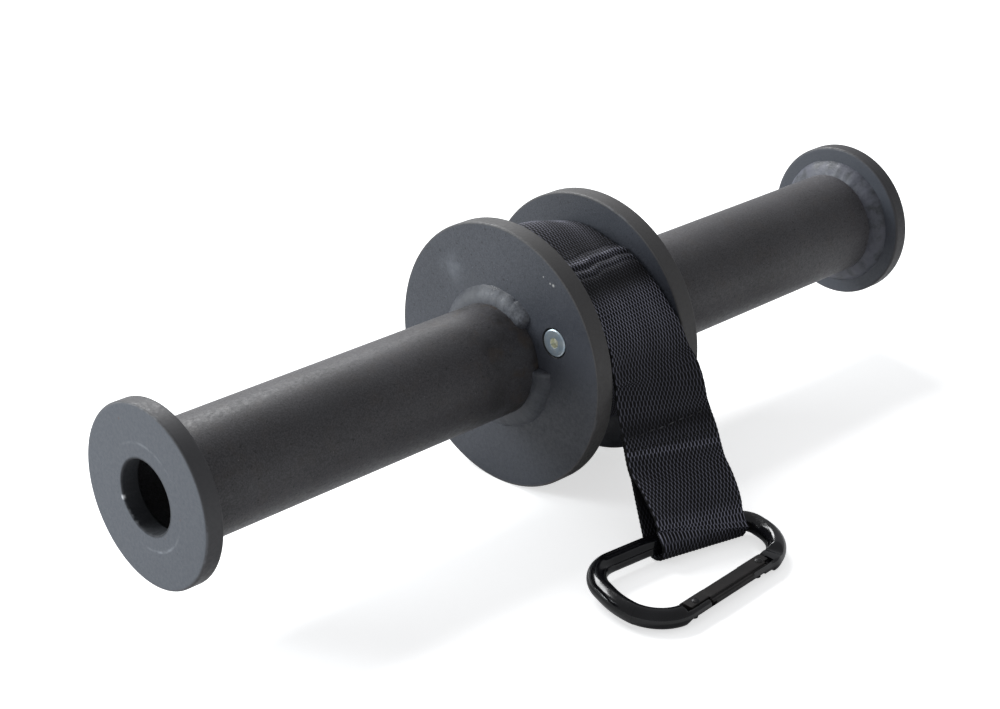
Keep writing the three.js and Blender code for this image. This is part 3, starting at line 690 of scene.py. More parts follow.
def flange_face(x, hole_radius, radii, angles):
    """A flat ring with a round hole off its centre, in two grids. Away from the hole it is a plain grid of
    radii and angles. Round the hole, each point of a sector's border runs straight to the hole's edge, at
    even shares of the way. Returns both grids and the hole's edge."""
    def at(radius, angle):
        """The point of the face at a radius and an angle about the tube's axis."""
        return np.stack([np.full_like(radius, x), axis_y + radius * np.cos(angle),
                         axis_z + radius * np.sin(angle)], axis=-1)

    rest = angles[HOLE_SECTOR_STEPS:]
    wide = at(*np.meshgrid(radii, rest, indexing="ij"))
    sector = angles[:HOLE_SECTOR_STEPS + 1]
    low, high = radii[0], radii[-1]
    border = np.concatenate([
        at(np.full_like(sector, low), sector), at(radii[1:], np.full_like(radii[1:], sector[-1])),
        at(np.full_like(sector[1:], high), sector[::-1][1:]),
        at(radii[::-1][1:], np.full_like(radii[1:], sector[0])),
    ])
    away = border - (bolt_point + [x, 0, 0])
    away[:, 0] = 0
    edge = bolt_point + [x, 0, 0] + unit(away) * hole_radius
    share = np.linspace(0, 1, HOLE_RINGS)[:, None, None]
    patch = border + (edge - border) * share
    return wide, patch, unit(away)


def build_flange(node, name, outer_hole, finish):
    """A drum flange: two flat faces with the bolt's hole, a rounded rim, a bore and the hole's wall. The
    left flange's hole opens as a cone to the head's width."""
    low, high = (corner.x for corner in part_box(node))
    outer_face, inner_face = (low, high) if low < 0 else (high, low)
    inward = 1 if outer_face < inner_face else -1
    through = bolt_shank_radius + 0.3 * MM
    start = bolt_angle - HOLE_SECTOR_STEPS / 2 / FLANGE_STEPS * FULL_TURN
    angles = all_round(FLANGE_STEPS, start)
    flat_to = flange_radius - FLANGE_EDGE - 0.6 * MM
    radii = np.linspace(flange_bore, flat_to, 12)
    outer_wide, outer_patch, spokes = flange_face(outer_face, outer_hole, radii, angles)
    inner_wide, inner_patch, spokes = flange_face(inner_face, through, radii, angles)
    rim = rounded(
        [(outer_face, flat_to), (outer_face, flange_radius), (inner_face, flange_radius),
         (inner_face, flat_to)], FLANGE_EDGE, 6, 0.6 * MM, closed=False,
    )
    bore = np.array([(outer_face, flange_bore), (inner_face, flange_bore)])
    depth = outer_hole - through
    wall = np.array([
        (0.0, outer_hole), (0.25 * MM, outer_hole - 0.1 * MM), (depth + 0.3 * MM, through + 0.05 * MM),
        (depth + 0.8 * MM, through), (abs(inner_face - outer_face), through),
    ])
    hole = np.stack([
        bolt_point + [outer_face + inward * along, 0, 0] + spokes * radius for along, radius in wall
    ])
    hole[0] = outer_patch[-1]
    hole[-1] = inner_patch[-1]
    surfaces = [outer_wide, outer_patch, inner_wide, inner_patch, turned(rim, angles),
                turned(bore, angles), hole]
    make_piece(name, surfaces, finish, "roller", [node])


# Welds.
WELD_PITCH = 2.3 * MM
WELD_CROWN = 0.9 * MM
WELD_RIPPLE = 0.04 * MM
RIPPLE_JITTER = 0.35       # of a ripple's length, to and fro round the bead
RIPPLE_BOW = 0.55          # of it, by which a crescent's ends trail its middle
RIPPLE_RISE = 0.75         # of it, that lies before the crest
CROWN_WAVES = 0.1          # how much slow waves change the crown, as a share of it
LEG_WAVES = 0.35           # of that, how much they change the legs
PUSHED = 0.72              # of the crown, by which the face moves along the tube and as much up the plate
WELD_STEP = 0.4 * MM
WELD_SINK = 0.12 * MM
WELD_GAP = 0.3 * MM        # between a bead's solid and the plate's, which the bead here closes
END_BEADS_FROM = 150 * MM  # from the middle of the tube: the beads past it are those of the end plates
END_LEGS = (6.4 * MM, 5.4 * MM)     # up the plate and along the tube
DRUM_LEGS = (7.4 * MM, 3.8 * MM)
FULL = (0.0, 360.0)                 # degrees round the tube, from its back over the top
UPPER = (-30.0, 133.0)
LOWER = (175.0, 310.0)
ROUND_ENDS = (3.4 * MM, 3.4 * MM)   # how far from each end of a bead it starts to shrink
SQUARE_START = (1.4 * MM, 4.0 * MM)
NOTCH = [(111.0, 1.5, 0.10), (128.0, 5.0, 0.05)]


def build_weld(node, name, legs, span, ends, seed, finish, notches=()):
    """A fillet bead in the corner between the tube and a plate. Across the face, at share s from the tube
    to the plate, the bead stands at (1 - s) of its leg along the tube and s of its leg up the plate, pushed
    out by a crown of 4 s (1 - s). Crescent ripples are a rounded saw of the way round less a bow of
    (2 s - 1) squared. Slow seeded waves make it uneven, and at its ends it shrinks as a quarter round."""
    low, high = (corner.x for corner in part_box(node))
    middle = (low + high) / 2
    at_end = abs(middle) > END_BEADS_FROM
    side = (-1 if middle < 0 else 1) * (-1 if at_end else 1)
    root = (low if side > 0 else high) - side * WELD_GAP
    radial, axial = legs
    start, stop = (value * DEGREE for value in span)
    closed = stop - start >= FULL_TURN - DEGREE
    steps = int((stop - start) * (tube_radius + radial / 2) / WELD_STEP)
    angle = np.linspace(start, stop, steps + 1)[:, None]
    share = np.linspace(0, 1, 15)[None, :]
    chance = np.random.default_rng(seed)
    waves = np.zeros((steps + 1, 1))
    for count in (3, 5, 8, 13, 21, 34):
        phase = chance.uniform(0, FULL_TURN)
        waves = waves + np.sin(count * angle + phase) / math.sqrt(count)
    waves = waves * CROWN_WAVES
    way = angle * (tube_radius + radial / 2) / WELD_PITCH
    jitter = RIPPLE_JITTER * np.sin(angle * 7 + chance.uniform(0, FULL_TURN))
    phase = (way + jitter - RIPPLE_BOW * (2 * share - 1) ** 2) % 1.0
    ripple = np.where(phase < RIPPLE_RISE, phase / RIPPLE_RISE, (1 - phase) / (1 - RIPPLE_RISE)) ** 0.8
    full = np.ones_like(angle)
    if not closed:
        arc = tube_radius + radial / 2
        for border, length in ((start, ends[0]), (stop, ends[1])):
            gone = np.clip(np.abs(angle - border) * arc / length, 0, 1)
            full = full * np.sqrt(np.clip(1 - (1 - gone) ** 2, 0, 1))
    grown = full * (1 + waves * LEG_WAVES)
    nicked = 1 - bumps(angle, notches)
    belly = 4 * share * (1 - share)
    out = (WELD_CROWN * (1 + waves) + WELD_RIPPLE * (ripple - 0.5)) * belly * full
    along = (1 - share) * axial * grown + out * PUSHED - WELD_SINK
    upward = share * radial * grown * nicked ** (share ** 3) + out * PUSHED - WELD_SINK
    along = np.concatenate([along, 0 * along[:, :1] - WELD_SINK, along[:, :1]], axis=1)
    upward = np.concatenate([upward, 0 * upward[:, :1] - WELD_SINK, upward[:, :1]], axis=1)
    radius = tube_radius + upward
    grid = np.stack([
        root + side * along, axis_y + radius * np.cos(angle), axis_z + radius * np.sin(angle),
    ], axis=-1)
    if closed:
        grid[-1] = grid[0]
    else:
        grid[0] = grid[0, -2]
        grid[-1] = grid[-1, -2]
    make_piece(name, [grid], finish, "roller", [node], 55 * DEGREE)


# The strap's bolt.
SOCKET_FLATS = 4.0 * MM
SOCKET_DEPTH = 2.6 * MM
BOLT_STEPS = 96


def build_bolt(finish):
    """A countersunk screw: rows of x and radius carried round its axis. In the socket the radius is the
    hexagon's: half the width over flats by the cosine of the angle from the nearest flat's middle."""
    face, tail = bolt_low.x, bolt_high.x
    angles = all_round(BOLT_STEPS)
    from_flat = (angles + math.pi / 6) % (math.pi / 3) - math.pi / 6
    hexagon = SOCKET_FLATS / 2 / np.cos(from_flat)
    head, shank = bolt_head_radius, bolt_shank_radius
    level = np.ones_like(angles)
    rows = [
        (SOCKET_DEPTH + 0.5 * MM, 0 * level), (SOCKET_DEPTH, hexagon - 0.25 * MM),
        (SOCKET_DEPTH - 0.2 * MM, hexagon), (0.35 * MM, hexagon),
        (0.08 * MM, hexagon + 0.12 * MM), (0.0, hexagon + 0.35 * MM),
        (0.0, (head - 0.9 * MM) * level), (0.03 * MM, (head - 0.55 * MM) * level),
        (0.16 * MM, (head - 0.2 * MM) * level), (0.4 * MM, head * level), (0.6 * MM, head * level),
        (0.6 * MM + head - shank, shank * level), (tail - face - 0.6 * MM, shank * level),
        (tail - face, (shank - 0.6 * MM) * level), (tail - face, 0 * level),
    ]
    grid = np.stack([
        np.stack([
            face + along * level,
            bolt_point[1] + radius * np.cos(angles),
            bolt_point[2] + radius * np.sin(angles),
        ], axis=-1) for along, radius in rows
    ])
    make_piece("countersunk_screw", [grid], finish, "roller", ["strap_bolt"], 30 * DEGREE)


# Webbing.
COLUMNS = 51
ROW_STEP = WEAVE_PERIOD / 8 * MM
FLOAT_HEIGHT = 0.26 * MM
SELVEDGE_WAVE = 0.12 * MM
EDGE_ROUND = 0.55 * MM


def evenly(path, step):
    """The stations of a path at even steps: each column is read off the length gone so far."""
    gone = np.r_[0, np.cumsum(np.linalg.norm(np.diff(path[:, :3], axis=0), axis=1))]
    count = max(3, int(round(gone[-1] / step)) + 1)
    at = np.linspace(0, gone[-1], count)
    return at, np.stack([np.interp(at, gone, column) for column in path.T], axis=1)


def smoothed(path, reach, step):
    """A path's columns, each averaged with its neighbours by a bell of this reach. The ends stay."""
    half = max(1, int(3 * reach / step))
    bell = np.exp(-0.5 * (np.arange(-half, half + 1) * step / reach) ** 2)
    bell /= bell.sum()
    padded = np.concatenate([
        2 * path[:1] - path[half:0:-1], path, 2 * path[-1:] - path[-2:-half - 2:-1],
    ])
    return np.stack([np.convolve(column, bell, "valid") for column in padded.T], axis=1)


def float_height(across, along, columns_apart, period):
    """The weave's relief, from 0 to 1: each column rises as a sine across itself, and along itself as a
    raised cosine over the float's share of the period. Every other column is half a period on."""
    column = across / columns_apart
    rise = np.abs(np.sin(math.pi * column))
    phase = along / period + 0.5 * (np.floor(column) % 2)
    swell = np.clip((np.cos(FULL_TURN * (phase % 1.0 - 0.5)) + 0.35) / 1.35, 0, 1)
    return rise * swell ** 0.7


def webbing_grid(path, start, thickness, woven, lift=None):
    """A strap as one closed skin with its map in millimetres. The section is a flat bar with round edges,
    carried along the path. On a woven side it has two points for each warp column, and its face is raised
    by the weave. Lift moves the whole section out along the normal, by place along and across."""
    centre = path[:, :3]
    tangent = unit(np.gradient(centre, axis=0))
    across = path[:, 3:6]
    across = unit(across - (across * tangent).sum(1, keepdims=True) * tangent)
    normal = np.cross(tangent, across)
    gone = start + np.r_[0, np.cumsum(np.linalg.norm(np.diff(centre, axis=0), axis=1))]
    half_width = strap_width / 2
    inset = half_width - EDGE_ROUND
    parts = []
    for side, has_weave in zip((1, -1), woven):
        count = 2 * COLUMNS if has_weave else COLUMNS // 6
        flat = np.linspace(-inset, inset, count + 1)
        flat = flat if side > 0 else flat[::-1]
        parts.append((flat, np.full_like(flat, side), np.full_like(flat, float(has_weave))))
        bend = np.array([0.25, 0.5, 0.75]) * math.pi
        parts.append((side * (inset + EDGE_ROUND * np.sin(bend)), side * np.cos(bend), 0 * bend))
    u, v, raised = (np.concatenate([part[k] for part in parts]) for k in range(3))
    u, v, raised = (np.r_[row, row[:1]] for row in (u, v, raised))
    on_chart = (u + half_width) / MM
    along = gone[:, None] / MM
    relief = float_height(on_chart[None, :], along, WARP_COLUMN, WEAVE_PERIOD) * raised
    edge = np.clip(np.abs(u) - inset, 0, None) / EDGE_ROUND
    wave = SELVEDGE_WAVE * np.cos(2 * FULL_TURN * along / WEAVE_PERIOD) * edge * np.sign(u)
    half = np.broadcast_to(np.asarray(thickness, float) / 2, (len(centre),))[:, None]
    out = v * half + np.sign(v) * FLOAT_HEIGHT * (relief - 0.5 * raised)
    if lift is not None:
        out = out + lift(gone[:, None], u[None, :])
    grid = centre[:, None] + across[:, None] * (u + wave)[..., None] + normal[:, None] * out[..., None]
    middle = centre[:, None] + 0 * grid
    if lift is not None:
        middle = middle + normal[:, None] * lift(gone[:, None], 0 * u[None, :])[..., None]
    grid = np.concatenate([middle[:1], grid, middle[-1:]])
    chart = np.stack(np.broadcast_arrays(on_chart[None, :], along), axis=-1)
    chart = np.concatenate([chart[:1], chart, chart[-1:]])
    return (grid, chart), gone[-1] - gone[0]


def outward(angle):
    """The unit vector square to the roller at an angle: y is its cosine and z its sine."""
    return np.stack([0 * angle, np.cos(angle), np.sin(angle)], axis=-1)


def on_winding(angle, round_tube, round_bolt):
    """Where a winding's outward normal has this angle: the farther out of a round about the tube's axis
    and a round about the bolt's."""
    over_bolt = bolt_circle * np.cos(angle - bolt_angle) + round_bolt
    spoke = outward(angle)
    about_tube = axis_point + spoke * np.asarray(round_tube)[..., None]
    about_bolt = bolt_point + spoke * np.asarray(round_bolt)[..., None]
    return np.where((over_bolt > round_tube)[..., None], about_bolt, about_tube)


def across_roller(count):
    """The direction along the tube, once for each station of a path."""
    return np.tile([1.0, 0.0, 0.0], (count, 1))


INNER_TURNS = 10
STEPS_A_TURN = 90        # of the spiral, before its stations are spaced evenly
INNER_ROW_STEP = 3.2 * MM
TURN_FILL = 0.94         # share of the room between two inner turns that the webbing fills
OUTER_STEPS = 1440
RIDGE_AFTER = 6.8 * MM   # past the place where the strap leaves the drum's round for the hump
STITCHED_AT = 52.0       # millimetres of the run from the winding to the row of stitches
LAYERS_PART_AT = 63.0    # and to where the loop's two layers part
DRAWN_TOGETHER = (-0.35, STITCHED_AT, 4.0)    # the dent at the stitches: height, place and width

# The outer turn's loose place, in height, place and width: places are past the end of the drum's round.
OVER_BRIDGE = (3.5 * MM, 12 * MM, 11 * MM)
RIDGE = (0.55 * MM, RIDGE_AFTER, 1.3 * MM)
FOLD_WIDTH = 1.1 * MM
FOLDS_PAST_RIDGE = ((-0.6 * MM, 3.1 * MM), (-0.35 * MM, 7.6 * MM), (-0.3 * MM, -4.6 * MM))
SLACK_ALONG = (7.6 * MM, -22 * MM, 20 * MM)
SLACK_ACROSS = (1.0, -7 * MM, 24 * MM)


def bridge_angle():
    """The outward normal's angle where the winding goes straight from the drum's round to the hump."""
    return bolt_angle - math.acos((winding_radius - hump_radius) / bolt_circle)


def bridge_length():
    """The length of that straight: the two centres' distance by the sine of the angle from it."""
    return bolt_circle * math.sin(bolt_angle - bridge_angle())


def hump_length():
    """The arc over the bolt from the straight to the take-off: radius times angle."""
    return hump_radius * (take_off_angle - bridge_angle())


def turn_light_bands(length):
    """Bands of painted highlight and painted shade on the outer turn, measured along from its start."""
    leaves = (length - hump_length() - bridge_length()) / MM
    ridge = leaves + RIDGE_AFTER / MM
    return [
        (ridge - 50, 46.0, 0.3), (ridge - 8, 6.0, -0.2), (ridge, 2.8, 1.0), (ridge + 5.5, 3.0, 0.3),
        (ridge + 14, 9.0, -0.4), (length / MM, 11.0, 1.1),
    ]


def run_light_bands(start):
    """Bands of painted highlight and painted shade on the free run, measured along from the outer turn's
    start.
    """
    begin = start / MM
    return [
        (begin, 26.0, 1.1), (begin + 36, 12.0, -0.05), (begin + STITCHED_AT, 7.0, -0.35),
        (begin + LAYERS_PART_AT, 2.6, 0.9), (begin + 82, 26.0, 0.25), (begin + 98, 8.0, 1.4),
        (begin + 109, 8.0, -0.2), (begin + 160, 60.0, -0.8),
    ]


def build_inner_turns(finish):
    """The inner turns: a spiral on the winding's outline, whose two rounds grow evenly with the angle gone.
    They are as thick as the spiral's own pitch lets them be, which over the bolt is less than the
    webbing's thickness."""
    share = np.linspace(0, 1, INNER_TURNS * STEPS_A_TURN + 1)
    angle = take_off_angle - FULL_TURN * (INNER_TURNS + 1) + FULL_TURN * INNER_TURNS * share
    first_tube = tube_radius + 0.3 * MM + strap_thickness / 2
    first_bolt = bolt_shank_radius + 2.5 * strap_thickness
    round_tube = first_tube + (winding_radius - turn_pitch - first_tube) * share
    round_bolt = first_bolt + (hump_radius - turn_pitch - first_bolt) * share
    centre = on_winding(angle, round_tube, round_bolt)
    over_bolt = bolt_circle * np.cos(angle - bolt_angle) + round_bolt > round_tube
    growth = np.where(over_bolt, hump_radius - first_bolt, winding_radius - first_tube) - turn_pitch
    thickness = np.minimum(strap_thickness, TURN_FILL * growth / INNER_TURNS)
    path = np.hstack([centre, across_roller(len(centre)), thickness[:, None]])
    path = evenly(path, INNER_ROW_STEP)[1]
    skin, length = webbing_grid(path, 0.0, path[:, 6], (False, False))
    inner = make_piece(
        "webbing_inner_turns", [skin], finish, "roller", ["strap_inner_turns"],
    )


def build_outer_turn():
    """The outer turn: once more round on the same outline, whose rounds grow by one pitch on the way, and
    lifted where it lies loose. Returns its length."""
    share = np.linspace(0, 1, OUTER_STEPS + 1)
    angle = take_off_angle - FULL_TURN * (1 - share)
    grown = turn_pitch * (1 - share)
    centre = on_winding(angle, winding_radius - grown, hump_radius - grown)
    path = np.hstack([centre, across_roller(len(centre))])
    at, path = evenly(path, ROW_STEP)
    path = smoothed(path, 1.2 * MM, ROW_STEP)
    length = at[-1]
    leaves = length - hump_length() - bridge_length()

    def lift(gone, across):
        """The loose place over the hump: a swell over the bridge, a ridge with folds beside it that waver
        across the strap, and a slack swell over the top, which is fullest left of the middle."""
        past = gone - leaves
        waver = past + 0.7 * MM * np.sin(across / (6 * MM)) + 0.4 * MM * np.sin(across / (2.3 * MM) + 1)
        bridge = swell(past, OVER_BRIDGE)
        ridge = swell(waver, RIDGE)
        folds = sum(
            swell(waver - RIDGE_AFTER, (depth, after, FOLD_WIDTH)) for depth, after in FOLDS_PAST_RIDGE
        )
        slack = swell(past, SLACK_ALONG) * swell(across, SLACK_ACROSS)
        settle = np.clip((length - gone) / (10 * MM), 0, 1)
        begin = np.clip(gone / (30 * MM), 0, 1)
        return (bridge + ridge + folds + slack) * settle * settle * (3 - 2 * settle) * begin

    skin, length = webbing_grid(path, 0.0, strap_thickness, (True, False), lift)
    cloth = webbing_cloth("black_webbing_turn", turn_light_bands(length))
    outer = make_piece("webbing_outer_turn", [skin], cloth, "roller", ["strap_outer_turn"])
    return length


def build_eye(finish):
    """The strap's inner end: most of a turn round the bolt, then a straight leg."""
    round_bolt = bolt_shank_radius + 0.3 * MM + strap_thickness / 2
    leg_angle = bolt_angle - math.acos((tube_radius - bolt_shank_radius - strap_thickness) / bolt_circle)
    angle = leg_angle + np.linspace(0, 315 * DEGREE, 80)
    centre = bolt_point + outward(angle) * round_bolt
    leg = centre[0] + outward(np.array(leg_angle - math.pi / 2)) * 8 * MM
    path = np.hstack([np.vstack([leg, centre]), across_roller(len(centre) + 1)])
    path = evenly(path, 0.6 * MM)[1]
    skin, length = webbing_grid(path, 0.0, strap_thickness, (False, False))
    eye = make_piece("webbing_eye", [skin], finish, "roller", ["strap_eye"])


# The free run, from the winding to the carabiner's spine: shares of the way gone sideways, forwards and
# down, and of the greatest yaw.
GREATEST_YAW = 24 * DEGREE
RUN_SHARES = np.array([
    [0.0, 0.19, 0.148, 0.125], [0.04, 0.267, 0.252, 0.36], [0.06, 0.345, 0.333, 0.54],
    [0.29, 0.457, 0.448, 0.77], [0.45, 0.596, 0.585, 0.94], [0.6, 0.705, 0.7, 1.0],
    [0.72, 0.835, 0.765, 0.9], [0.84, 0.94, 0.825, 0.75], [0.94, 1.02, 0.885, 0.62],
    [1.0, 1.068, 0.945, 0.53],
])
ALIGN_FROM = 0.72
FRONT_LEAVE = 28 * DEGREE
BACK_LEAVE = -148 * DEGREE
BACK_MEETS = 0.64
TAIL_ENDS = 0.47
BAR_RADIUS = 4.2 * MM
LOOP_POWER = 2.4
LOOP_FORWARD = 1.3 * MM
RUN_STEPS = 400


def spline(points, count):
    """A smooth curve through points: between two of them, the cubic whose slopes at its ends are those from
    each point's neighbour before to its neighbour after, with knots spaced by the root of the distance."""
    knots = np.r_[0, np.cumsum(np.sqrt(np.linalg.norm(np.diff(points[:, :3], axis=0), axis=1)))]
    slope = np.gradient(points, knots, axis=0)
    at = np.linspace(0, knots[-1], count)
    k = np.clip(np.searchsorted(knots, at, side="right") - 1, 0, len(points) - 2)
    span = (knots[k + 1] - knots[k])[:, None]
    t = (at - knots[k])[:, None] / span
    return (
        (2 * t ** 3 - 3 * t ** 2 + 1) * points[k] + (t ** 3 - 2 * t ** 2 + t) * span * slope[k]
        + (3 * t ** 2 - 2 * t ** 3) * points[k + 1] + (t ** 3 - t ** 2) * span * slope[k + 1]
    )


def run_path():
    """The run's stations: down from the winding, round the spine from front to back, up behind, and the
    sewn tail against the run's back. Each has its centre and the direction across."""
    start = bolt_point + outward(np.array(take_off_angle)) * hump_radius
    round_spine = BAR_RADIUS + 0.8 * MM + strap_thickness / 2
    way = spine_point - start
    onward = outward(np.array(take_off_angle + math.pi / 2))
    points = start + way * RUN_SHARES[:, :3]
    yaws = np.r_[0, 0, RUN_SHARES[:, 3], math.atan2(-spine_along[1], spine_along[0]) / GREATEST_YAW]
    up = np.array([0, 0, 1.0])
    front = unit(np.cross(spine_along, up))

    def round_the_spine(angle):
        """The loop's bend: an ellipse, squarer than a round one, that stands a little more to the front."""
        cosine, sine = np.cos(angle)[:, None], np.sin(angle)[:, None]
        square = (np.abs(cosine) ** LOOP_POWER + np.abs(sine) ** LOOP_POWER) ** (-1 / LOOP_POWER)
        forward = round_spine + LOOP_FORWARD * np.clip(cosine, 0, 1)
        return spine_point + (front * cosine * forward + up * sine * round_spine) * square

    bend = round_the_spine(np.linspace(FRONT_LEAVE, BACK_LEAVE, 60))
    middle = np.vstack([start, start + onward * 0.3 * MM, points, bend[:1]])
    down = spline(np.hstack([middle, yaws[:, None]]), RUN_STEPS + 1)
    yaw = down[:, 3] * GREATEST_YAW
    share = np.linspace(0, 1, len(down))
    turn = np.clip((share - ALIGN_FROM) / (1 - ALIGN_FROM), 0, 1)
    turn = (turn * turn * (3 - 2 * turn))[:, None]
    across = np.stack([np.cos(yaw), -np.sin(yaw), 0 * yaw], axis=1) * (1 - turn) + spine_along * turn
    tangent = unit(np.gradient(down[:, :3], axis=0))
    normal = unit(np.cross(tangent, across))
    behind = strap_thickness + 0.6 * MM
    first, last = (int(round(share * RUN_STEPS)) for share in (TAIL_ENDS, BACK_MEETS))
    tail = (down[:, :3] - normal * behind)[first:last + 1][::-1]
    tail_across = across[first:last + 1][::-1]
    lerp = np.linspace(0, 1, 62)[1:-1, None]
    rise = bend[-1] * (1 - lerp) + tail[0] * lerp
    rise_across = spine_along * (1 - lerp) + tail_across[0] * lerp
    centre = np.vstack([down[:, :3], bend[1:], rise, tail])
    across = np.vstack([across, np.tile(spine_along, (len(bend) - 1, 1)), rise_across, tail_across])
    return smoothed(evenly(np.hstack([centre, across]), ROW_STEP)[1], 1.0 * MM, ROW_STEP)


def build_run(finish, start):
    """The free run with its loop, one skin woven on both sides, which bends where it leaves the winding."""
    path = run_path()

    def lift(gone, across):
        """Slight waves down the run, and the two layers drawn together at the stitches."""
        past = (gone - start) / MM
        free = smooth_window(past, 6.0, 95.0, 12.0)
        waves = 0.35 * np.sin(past / 5.2 + across / (16 * MM)) + 0.25 * np.sin(past / 3.1 - across / (9 * MM))
        drawn = swell(past, DRAWN_TOGETHER)
        return (waves * 0.5 + drawn) * free * MM

    skin, length = webbing_grid(path, start, strap_thickness, (True, True), lift)
    run = make_piece("webbing_run", [skin], finish, None, ["strap_run"])
    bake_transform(run)
    return path


STITCH_LENGTH = 2.6 * MM
STITCH_RADIUS = 0.3 * MM
STITCH_ROWS = ((STITCHED_AT + 1.0, 3.6), (STITCHED_AT + 8.0, 2.0))
STITCH_SHARES = (0.08, 0.19, 0.30, 0.41, 0.53, 0.64, 0.75, 0.86)
# The thread's light place below is painted highlight.
LIGHT_STITCHES = 3.5     # the place, counted in stitches, about which the thread is light


def build_stitches(stations, finish):
    """Two rows of stitches across the run, each a short cord whose middle stands proud: its height is a
    sine of the share of its length, and its section is the square root of that sine."""
    centre, across = stations[:, :3], stations[:, 3:6]
    tangent = unit(np.gradient(centre, axis=0))
    normal = unit(np.cross(tangent, across))
    share = np.linspace(0, 1, 13)[:, None]
    ring = np.linspace(0, FULL_TURN, 11)[None, :]
    proud = np.sin(math.pi * share)
    surfaces = []
    for row, (place, slant) in enumerate(STITCH_ROWS):
        for k, way in enumerate(STITCH_SHARES):
            at = int((place - slant * 2 * (way - 0.5)) * MM / ROW_STEP)
            along = (share - 0.5) * STITCH_LENGTH
            out = strap_thickness / 2 + 0.22 * MM * proud + STITCH_RADIUS * np.sqrt(proud) * np.sin(ring)
            wide = (way - 0.5) * strap_width + along
            down = STITCH_RADIUS * np.sqrt(proud) * np.cos(ring) - 0.25 * along
            turn = np.stack([across[at], normal[at], tangent[at]])
            grid = centre[at] + np.stack(np.broadcast_arrays(wide, out, down), axis=-1) @ turn
            chart = np.stack(np.broadcast_arrays(ring / FULL_TURN * 2, share * 0.6 + k + 50 * row), axis=-1)
            surfaces.append((grid, chart))
    make_piece("loop_stitches", surfaces, finish, "strap")


# Carabiner.
GATE_SIDE = 87 * MM
WIDE_END = 51 * MM
NARROW_END = 27 * MM
WIDE_ANGLE = 80 * DEGREE
NARROW_ANGLE = 80.8 * DEGREE
SPINE_CORNER = 16.5 * MM
NOSE_CORNER = 18.6 * MM
HINGE_CORNER = 20 * MM
NARROW_CORNER = 8 * MM
HINGE_FROM_NOSE = 63 * MM
SPINE_BEND_SHARE = 0.6   # of the way along the spine, from its narrow end, where it starts to bend in
NOSE_SHIFT = np.array([1.8, 0.0]) * MM
BELLY_OUT = np.array([-0.6, 21.0]) * MM
WIDE_SHIFT = np.array([-0.5, -4.6]) * MM
BELLY_ROUND = 34 * MM
LATCH_FROM_HINGE = 42.3 * MM
NOSE_LIP_FROM_HINGE = 36 * MM
NOSE_CUT = 7.2 * MM        # from the latch to where the bar's full round is cut off
NOSE_LIP_DEPTH = 2.1 * MM
HINGE_LIP = 8.2 * MM
HINGE_LIP_DEPTH = 3.4 * MM
HINGE_BODY_FROM = 6.6 * MM
LIP_TOP = 2.9 * MM
PLANE_Y, PLANE_Z = 0.755, 0.656   # the direction from which the lips' and the gate's lower edge is planed off
PLANED = 3.09 * MM                # from the gate's axis to that plane
FORGED_SWELL = (0.1, 8.8 * MM, 2.6 * MM)          # a share of the bar's radius, then place and width
FORGED_SCOOP = (0.5 * MM, 13 * MM, 2.5 * MM)      # its depth, place and width
TONGUE = 1.4 * MM
TONGUE_HALF = 2.4 * MM            # across the bar, at the hinge
TONGUE_TIP = -2.6 * MM            # its end, past the hinge rivet
TONGUE_ROUND = 0.3 * MM
RIVET_ROOM = 1.5 * MM             # from a rivet's middle line to the tongue round it
SLOT = 1.7 * MM
CUT_CREASE = 35 * DEGREE          # the bend at which an edge of the bar or the gate is drawn sharp


def place_in_frame(local):
    """Points of the carabiner's own frame, along the gate from its hinge, inwards and up, put in the
    part's frame."""
    along, inward, up = (local[..., k:k + 1] for k in range(3))
    return hinge_point + along * gate_along + inward * gate_inward + up * gate_up


def bar_line():
    """The bar's middle line in the carabiner's plane, from the nose's lip round to the hinge's lip."""
    nose = np.array([-HINGE_FROM_NOSE, 0])
    hinge_corner = nose + [GATE_SIDE, 0]
    wide = nose + WIDE_END * np.array([math.cos(WIDE_ANGLE), math.sin(WIDE_ANGLE)])
    narrow = hinge_corner + NARROW_END * np.array([math.cos(NARROW_ANGLE), math.sin(NARROW_ANGLE)])
    beside_loop = narrow + SPINE_BEND_SHARE * (wide - narrow)
    corners = [
        (-NOSE_LIP_FROM_HINGE, 0), nose + NOSE_SHIFT, nose + BELLY_OUT, wide + WIDE_SHIFT, beside_loop,
        narrow, hinge_corner, (-HINGE_LIP, 0),
    ]
    radii = [0, NOSE_CORNER, BELLY_ROUND, SPINE_CORNER, BELLY_ROUND, NARROW_CORNER, HINGE_CORNER, 0]
    line = rounded(corners, radii, 40, 0.1 * MM, closed=False, side_share=0.72)
    at, line = evenly(np.hstack([line, np.zeros((len(line), 1))]), 0.5 * MM)
    return at, line[:, :2]


